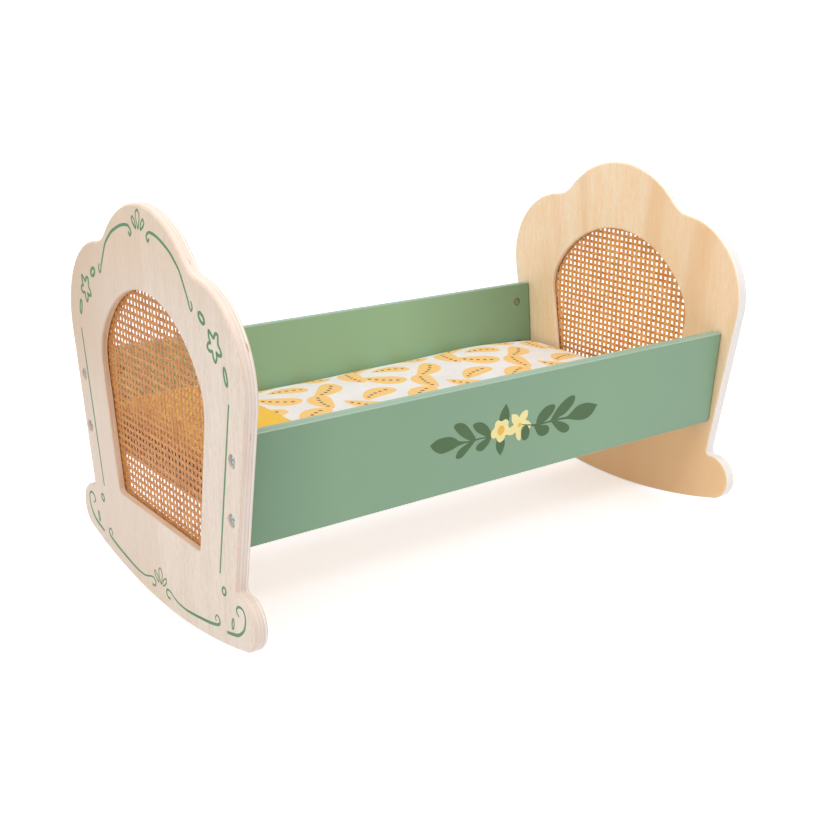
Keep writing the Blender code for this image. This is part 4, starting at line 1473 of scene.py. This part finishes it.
@dataclass
class BoardSprig:
    """The leafy sprig with two flowers on the outer face of each side board."""

    finishes: Finishes
    top_out: float = 0.1325
    top_up: float = 0.1777
    half_thickness: float = 0.0045
    cant: float = 5.2
    leaf_lift: float = 0.05
    petal_lift: float = 0.11
    heart_lift: float = 0.16
    stagger: float = 0.004
    leaves: tuple[Patch | Blade | Stroke, ...] = (
        Patch(((-84.9, 41.4), (-83.9, 40.6), (-78.1, 37.6), (-67.7, 37.4), (-60.8, 40.3), (-56.6, 43.4),
               (-48.0, 45.2), (-44.0, 45.6), (-44.0, 46.4), (-48.0, 46.3), (-56.4, 47.0),
               (-64.0, 49.3), (-73.9, 50.3), (-81.3, 46.0), (-84.2, 42.3))),
        Patch(((-63.0, 30.7), (-61.2, 28.2), (-56.2, 28.1), (-51.0, 31.0), (-45.9, 36.7),
               (-40.7, 44.1), (-41.5, 46.0), (-48.7, 43.8), (-57.1, 37.7))),
        Patch(((-59.0, 55.2), (-58.6, 57.6), (-56.5, 58.4), (-52.1, 57.3), (-44.7, 50.5),
               (-40.3, 46.1), (-41.5, 45.4), (-47.4, 46.9), (-56.1, 50.6))),
        Patch(((-44.2, 33.1), (-41.9, 31.2), (-36.1, 31.7), (-30.0, 35.6), (-25.6, 41.9),
               (-24.9, 46.9), (-26.5, 47.4), (-31.5, 44.4), (-40.1, 38.9))),
        Patch(((-39.6, 53.1), (-37.4, 55.8), (-32.7, 56.6), (-27.3, 52.3), (-24.8, 47.2),
               (-26.0, 46.2), (-31.3, 47.3), (-37.4, 49.9))),
        Blade((-13.4, 43.0), (-11.8, 20.8), 10.6, 1.0, 0.8, 0.0),
        Blade((-15.4, 46.5), (-13.6, 65.0), 9.2, 1.0, 0.8, 0.0),
        Stroke(((-25.0, 46.8, 1.2), (-34.0, 45.6, 1.2), (-41.0, 45.8, 1.5), (-50.0, 45.9, 1.6))),
        Stroke(((16.0, 44.6, 1.4), (21.0, 45.7, 1.9), (27.3, 46.0, 1.2), (36.0, 45.7, 1.6),
                (45.0, 45.7, 1.4))),
        Patch(((22.3, 45.2), (22.4, 40.7), (24.9, 36.2), (30.6, 31.8), (37.9, 30.7), (41.3, 32.8),
               (40.0, 37.1), (35.0, 42.2), (29.8, 45.2), (25.5, 46.4))),
        Patch(((19.9, 45.4), (21.6, 49.6), (25.3, 55.0), (29.9, 57.1), (35.4, 56.0), (37.0, 51.8),
               (33.8, 48.3), (28.7, 47.2), (24.0, 46.0))),
        Patch(((36.9, 46.2), (37.6, 44.6), (40.4, 40.2), (45.8, 33.7), (54.0, 28.2), (60.3, 27.0),
               (62.9, 29.3), (61.3, 34.6), (54.4, 41.0), (46.5, 44.0), (40.0, 46.4))),
        Patch(((37.2, 45.0), (39.3, 47.2), (43.0, 51.5), (48.8, 56.8), (54.9, 59.4), (59.2, 57.9),
               (59.1, 54.2), (53.7, 50.0), (46.9, 47.3), (40.5, 45.4))),
        Patch(((44.0, 45.2), (46.6, 44.8), (55.5, 44.8), (59.7, 42.5), (66.8, 37.7), (77.2, 36.9),
               (88.5, 40.3), (89.6, 40.8), (88.8, 41.9), (84.6, 47.9), (77.8, 51.3), (68.6, 50.8),
               (57.8, 47.8), (50.0, 46.6), (44.0, 46.4))),
    )
    petals: tuple[Patch, ...] = (
        Patch(((-18.8, 33.5), (-15.4, 35.0), (-13.5, 34.5), (-11.2, 34.0), (-9.0, 35.2),
               (-7.8, 37.4), (-7.9, 40.1), (-6.2, 43.0), (-6.5, 45.8), (-8.0, 47.8), (-10.1, 48.2),
               (-10.5, 49.8), (-11.9, 51.9), (-15.4, 53.2), (-17.7, 51.6), (-19.8, 48.3),
               (-21.7, 48.5), (-23.8, 47.6), (-25.1, 45.7), (-25.3, 43.3), (-24.5, 41.6),
               (-22.4, 39.6), (-21.8, 37.4), (-21.6, 35.3))),
        Patch(((-4.9, 31.1), (-0.3, 32.0), (1.6, 33.4), (3.1, 35.2), (3.9, 33.5), (5.7, 31.7),
               (8.5, 30.3), (11.4, 30.7), (11.9, 33.0), (11.7, 36.2), (10.2, 38.7), (12.8, 40.1),
               (15.0, 41.9), (16.4, 43.7), (16.4, 45.6), (14.0, 47.5), (11.4, 45.4), (7.8, 44.0),
               (6.5, 45.2), (6.1, 47.3), (6.7, 52.8), (6.5, 54.9), (5.3, 56.0), (2.9, 54.3),
               (1.4, 51.9), (0.4, 47.9), (-1.9, 49.0), (-4.5, 49.3), (-6.7, 48.7), (-9.0, 47.3),
               (-9.3, 44.5), (-6.3, 42.8), (-4.4, 41.7), (-2.2, 40.7), (-3.9, 38.4), (-5.0, 35.3),
               (-5.2, 32.3))),
    )
    hearts: tuple[Blade, ...] = (
        Blade((-15.8, 46.9), (-14.6, 38.8), 7.2, 0.5, 0.5),
        Blade((2.0, 42.3), (6.3, 41.7), 3.6, 0.5, 0.5),
    )
    bud: tuple[Blade | Stroke, ...] = (
        Blade((10.3, 43.4), (11.5, 56.9), 9.0, 0.5, 0.6),
        Stroke(((6.6, 42.3, 0.7), (11.0, 43.4, 0.9), (16.5, 44.6, 1.1))),
    )

    def surface(self, side: Side) -> Surface:
        """The outer face of a side board, as a place for leaves.

        Args:
            side: the board's side.

        Returns:
            The surface.
        """
        cos, sin = math.cos(math.radians(self.cant)), math.sin(math.radians(self.cant))

        def spot(along: float, down: float, lift: float) -> Vector:
            out = self.half_thickness + lift * MILLI
            y = self.top_out + out * cos - down * MILLI * sin
            z = self.top_up - out * sin - down * MILLI * cos
            return Vector((-side.value * along * MILLI, side.value * y, z))
        return spot

    def build(self) -> None:
        """Prints the sprig on both boards."""
        kit = self.finishes
        for side in Side:
            work = Workpiece(f"{side.word}_board_sprig")
            surface = self.surface(side)
            rows = ((self.leaves, self.leaf_lift, 0), (self.petals, self.petal_lift, 1),
                    (self.hearts, self.heart_lift, 2), (self.bud, self.heart_lift, 0))
            for shapes, lift, slot in rows:
                for number, shape in enumerate(shapes):
                    work.merge(shape.lay(surface, lift + number * self.stagger), slot)
            work.done([kit.leaf, kit.petal, kit.heart], Slot.GREEN, weigh=False)


@dataclass(frozen=True)
class Pad:
    """A stuffed piece of bedding: sewn smaller than its space, then swollen by a cloth simulation."""

    name: str
    node: str
    body: str
    slot: Slot
    material: bpy.types.Material
    fill: float
    inset: float
    cap: float
    pressure: float
    ease: float
    roll: float
    roll_size: float
    seam_up: float
    seam_depth: float = 0.0012
    seam_width: float = 0.0016
    voxel: float = 0.0045
    frames: int = 20
    margin: float = 0.00015
    fullness: float = 1.0
    roll_seed: float = 0.0
    bulges: tuple[tuple[float, float, float, float], ...] = ()

    def sewn(self, solid: bmesh.types.BMesh) -> bpy.types.Object:
        """Sews the slack cover, a little smaller than the CAD solid.

        Args:
            solid: the merged CAD solid.

        Returns:
            The cover's object, evenly meshed.
        """
        mesh = bpy.data.meshes.new(self.name)
        solid.to_mesh(mesh)
        piece = bpy.data.objects.new(self.name, mesh)
        bpy.context.scene.collection.objects.link(piece)
        remesh = piece.modifiers.new("cover", "REMESH")
        remesh.mode, remesh.voxel_size = "VOXEL", self.voxel
        self.apply(piece)
        bm = bmesh.new()
        bm.from_mesh(piece.data)
        bmesh.ops.recalc_face_normals(bm, faces=bm.faces)
        self.soften(bm)
        bm.normal_update()
        for vert, normal in [(vert, vert.normal.copy()) for vert in bm.verts]:
            vert.co -= normal * self.inset
        bm.to_mesh(piece.data)
        bm.free()
        return piece

    def soften(self, bm: bmesh.types.BMesh) -> None:
        """Smooths a cover by one round."""
        bmesh.ops.smooth_vert(bm, verts=bm.verts, factor=0.5, use_axis_x=True, use_axis_y=True,
                              use_axis_z=True)

    def apply(self, piece: bpy.types.Object) -> None:
        """Makes the piece's modifiers part of its mesh."""
        graph = bpy.context.evaluated_depsgraph_get()
        mesh = bpy.data.meshes.new_from_object(piece.evaluated_get(graph), depsgraph=graph)
        piece.modifiers.clear()
        old, piece.data = piece.data, mesh
        bpy.data.meshes.remove(old)

    def swell(self, piece: bpy.types.Object) -> None:
        """Blows the cover up with slack cloth, which puckers it, and caps each point's way."""
        start = [vert.co.copy() for vert in piece.data.vertices]
        scene = bpy.context.scene
        cloth = piece.modifiers.new("filling", "CLOTH")
        cloth.point_cache.frame_start, cloth.point_cache.frame_end = 1, self.frames
        rules = cloth.settings
        rules.quality, rules.mass = 5, 0.12
        rules.use_pressure, rules.uniform_pressure_force = True, self.pressure
        rules.effector_weights.gravity = 0.0
        rules.shrink_min = -self.ease
        for number in range(1, self.frames + 1):
            scene.frame_set(number)
        self.apply(piece)
        scene.frame_set(1)
        for vert, home in zip(piece.data.vertices, start):
            way = vert.co - home
            if way.length > self.cap:
                vert.co = home + way * (self.cap / way.length)
        bm = bmesh.new()
        bm.from_mesh(piece.data)
        self.soften(bm)
        bm.to_mesh(piece.data)
        bm.free()

    def settle(self, piece: bpy.types.Object, solid: bmesh.types.BMesh) -> None:
        """Fills the space, rolls the filling about, draws the seam in and keeps the pad inside.

        Args:
            piece: the pad.
            solid: the merged CAD solid, which is its space.
        """
        space = BVHTree.FromBMesh(solid)
        for vert in piece.data.vertices:
            point = vert.co.copy()
            inwards = -vert.normal
            room = space.ray_cast(point, vert.normal)[3]
            if room and room < self.voxel * 3:
                point -= inwards * (room * self.fullness)
            lump = noise.noise(point / self.roll_size + Vector((0, 0, self.roll_seed))) * 0.5 + 0.5
            seam = math.exp(-((point.z - self.seam_up) / self.seam_width) ** 2)
            level = 1 - abs(vert.normal.z)
            point += inwards * (self.seam_depth * seam * max(0.0, level))
            near, normal, _, _ = space.find_nearest(point)
            out = (point - near).dot(normal)
            depth = self.margin + self.roll * lump
            if out > -depth:
                point -= normal * (out + depth)
            for x, y, reach, height in self.bulges:
                away = ((point.x - x) ** 2 + (point.y - y) ** 2) / reach ** 2
                point.z += height * math.exp(-away) * max(0.0, vert.normal.z)
            vert.co = point

    def build(self) -> None:
        """Makes the pad."""
        solid = merged_copy(self.node)
        piece = self.sewn(solid)
        self.swell(piece)
        self.settle(piece, solid)
        solid.free()
        mesh = piece.data
        bpy.data.objects.remove(piece)
        piece = present(mesh, self.name, [self.material], self.slot, self.body, [self.node], 180, False)
        rounding = piece.modifiers.new("rounding", "SUBSURF")
        rounding.levels = rounding.render_levels = 1


@dataclass
class Bedding:
    """The mattress pad, the printed duvet and the yellow pillow."""

    finishes: Finishes

    def pads(self) -> list[Pad]:
        """The three pads, from the base board upwards."""
        kit = self.finishes
        return [
            Pad("mattress_pad", "mattress", "mattress", Slot.PLAIN, kit.plain, fill=0.9, inset=0.0008,
                cap=0.0010, pressure=1.0, ease=0.0, roll=0.0004, roll_size=0.05, seam_up=0.1077,
                voxel=0.0040, seam_depth=0.0006),
            Pad("printed_duvet", "duvet", "duvet", Slot.PRINTED, kit.printed, fill=0.5, inset=0.0015,
                cap=0.0020, pressure=1.0, ease=0.02, roll=0.0018, roll_size=0.065, seam_up=0.1165,
                seam_depth=0.0006, voxel=0.0038, roll_seed=14.43,
                bulges=((0.145, 0.112, 0.060, 0.0032), (0.035, 0.112, 0.045, 0.0010))),
            Pad("yellow_pillow", "pillow", "pillow", Slot.YELLOW, kit.yellow, fill=0.7, inset=0.0020,
                cap=0.0030, pressure=2.0, ease=0.02, roll=0.0012, roll_size=0.04, seam_up=0.1325),
        ]

    def build(self) -> None:
        """Makes the bedding."""
        for pad in self.pads():
            pad.build()


@dataclass
class Studio:
    """The camera, the floor, the lamps and the white surroundings."""

    eye: tuple[float, float, float] = (-0.60887, -0.84158, 0.45001)
    heading: float = 52.5765
    dip: float = 16.1851
    roll: float = 0.4820
    lens: float = 54.45
    shift: Place = (-0.05243, -0.04240)

    def camera(self) -> None:
        """Sets the camera where the photograph was taken from."""
        data = bpy.data.cameras.new("camera")
        data.sensor_width, data.lens = 36.0, self.lens
        data.shift_x, data.shift_y = self.shift
        data.clip_start, data.clip_end = 0.02, 50.0
        camera = bpy.data.objects.new("camera", data)
        bpy.context.scene.collection.objects.link(camera)
        turn, dip = math.radians(self.heading), math.radians(self.dip)
        ahead = Vector((math.cos(turn) * math.cos(dip), math.sin(turn) * math.cos(dip), -math.sin(dip)))
        tilt = Quaternion((0, 0, 1), math.radians(self.roll))
        camera.rotation_mode = "QUATERNION"
        camera.location = self.eye
        camera.rotation_quaternion = ahead.to_track_quat("-Z", "Y") @ tilt
        bpy.context.scene.camera = camera
        bpy.context.scene.view_settings.view_transform = "Standard"

    def lamp(self, name: str, place: Sequence[float], size: float, watts: float, colour: str) -> None:
        """Hangs one soft square lamp that looks at the cradle.

        Args:
            name: the lamp's name.
            place: where it hangs.
            size: the length of its side.
            watts: its power.
            colour: its written colour.
        """
        data = bpy.data.lights.new(name, "AREA")
        data.shape, data.size, data.energy = "SQUARE", size, watts
        data.color = tone(colour)[:3]
        lamp = bpy.data.objects.new(name, data)
        bpy.context.scene.collection.objects.link(lamp)
        lamp.location = place
        lamp.rotation_mode = "QUATERNION"
        lamp.rotation_quaternion = (Vector((0, 0, 0.12)) - Vector(place)).to_track_quat("-Z", "Y")

    def seen(self, g: Graph) -> Socket:
        """1 for the rays that show the background: from the camera, a gloss or a glass."""
        path = g.add("ShaderNodeLightPath", {})
        gloss = g.sum("MAXIMUM", path.outputs["Is Glossy Ray"], path.outputs["Is Transmission Ray"])
        return g.sum("MAXIMUM", path.outputs["Is Camera Ray"], gloss)

    def world(self) -> None:
        """Lights the room softly and shows it white."""
        world = bpy.data.worlds.new("white_room")
        world.use_nodes = True
        bpy.context.scene.world = world
        tree = world.node_tree
        tree.nodes.clear()
        path = tree.nodes.new("ShaderNodeLightPath")
        glow, white = (tree.nodes.new("ShaderNodeBackground") for _ in range(2))
        glow.inputs[0].default_value, glow.inputs[1].default_value = tone("FFFDFA"), 0.50
        white.inputs[0].default_value, white.inputs[1].default_value = tone("FFFFFF"), 1.0
        share = path.outputs["Is Camera Ray"]
        for name in ("Is Glossy Ray", "Is Transmission Ray"):
            node = tree.nodes.new("ShaderNodeMath")
            node.operation = "MAXIMUM"
            tree.links.new(share, node.inputs[0])
            tree.links.new(path.outputs[name], node.inputs[1])
            share = node.outputs[0]
        mixer = tree.nodes.new("ShaderNodeMixShader")
        out = tree.nodes.new("ShaderNodeOutputWorld")
        tree.links.new(share, mixer.inputs[0])
        tree.links.new(glow.outputs[0], mixer.inputs[1])
        tree.links.new(white.outputs[0], mixer.inputs[2])
        tree.links.new(mixer.outputs[0], out.inputs[0])

    def floor(self) -> None:
        """Lays the pale floor, which shows white and keeps the cradle's shadow; its seen glow is lower near the
        cradle as painted shadow, and under the cradle it glows for every ray as painted bounce light.
        """
        bm = bmesh.new()
        bmesh.ops.create_grid(bm, x_segments=1, y_segments=1, size=2.0)
        mesh = bpy.data.meshes.new("studio_floor")
        bm.to_mesh(mesh)
        bm.free()
        floor = bpy.data.objects.new("studio_floor", mesh)
        bpy.context.scene.collection.objects.link(floor)
        floor.location.z = -0.0004
        g = Graph("studio_floor")
        x, y, _ = g.split(g.place())
        aside = g.sum("ABSOLUTE", y)
        # Painted shadow: the glow that the camera sees is lower along the cradle's middle, and lower still by
        # its foot end.
        open_floor = g.fade(aside, 0.015, 0.060)
        g.dress(Base_Color=g.mix(open_floor, tone("F9F8F7"), tone("F7F8FE")), Roughness=0.9,
                Specular_IOR_Level=0.0, Emission_Color=tone("FFFFFF"))
        under = g.sum("MULTIPLY", g.fade(x, 0.12, 0.21), g.sum("SUBTRACT", 1.0, open_floor))
        glow = g.sum("MULTIPLY_ADD", open_floor, 0.11, g.sum("MULTIPLY_ADD", under, -0.05, 0.49))
        # Painted bounce light: under the cradle the floor glows for every ray and lights the cradle's underside.
        painted_bounce_glow = g.sum("MULTIPLY", g.fade(aside, 0.14, 0.10), g.fade(g.sum("ABSOLUTE", x), 0.26, 0.22))
        seen = g.sum("MULTIPLY", self.seen(g), glow)
        g.dress(Emission_Strength=g.sum("MAXIMUM", seen, g.sum("MULTIPLY", painted_bounce_glow, 0.16)))
        mesh.materials.append(g.material)

    def build(self) -> None:
        """Sets the studio up."""
        self.camera()
        self.world()
        self.floor()
        self.lamp("overhead", (-0.30, -0.25, 1.9), 1.6, 25.0, "FFFFFF")
        self.lamp("left_fill", (-1.9, -0.5, 1.0), 1.4, 5.5, "FFFDFB")
        self.lamp("right_fill", (1.0, -1.1, 0.9), 1.2, 2.0, "FFFFFF")


def main() -> None:
    """Builds the cradle piece by piece."""
    logging.basicConfig(level=logging.INFO, format="%(name)s %(message)s")
    finishes = Finishes()
    Studio().build()
    EndPanels(finishes).build()
    CaneNets(finishes).build()
    Boards(finishes).build()
    Fasteners(finishes).build()
    EndOrnament(finishes).build()
    BoardSprig(finishes).build()
    Bedding(finishes).build()
    bpy.context.view_layer.update()


if __name__ == "__main__":
    main()
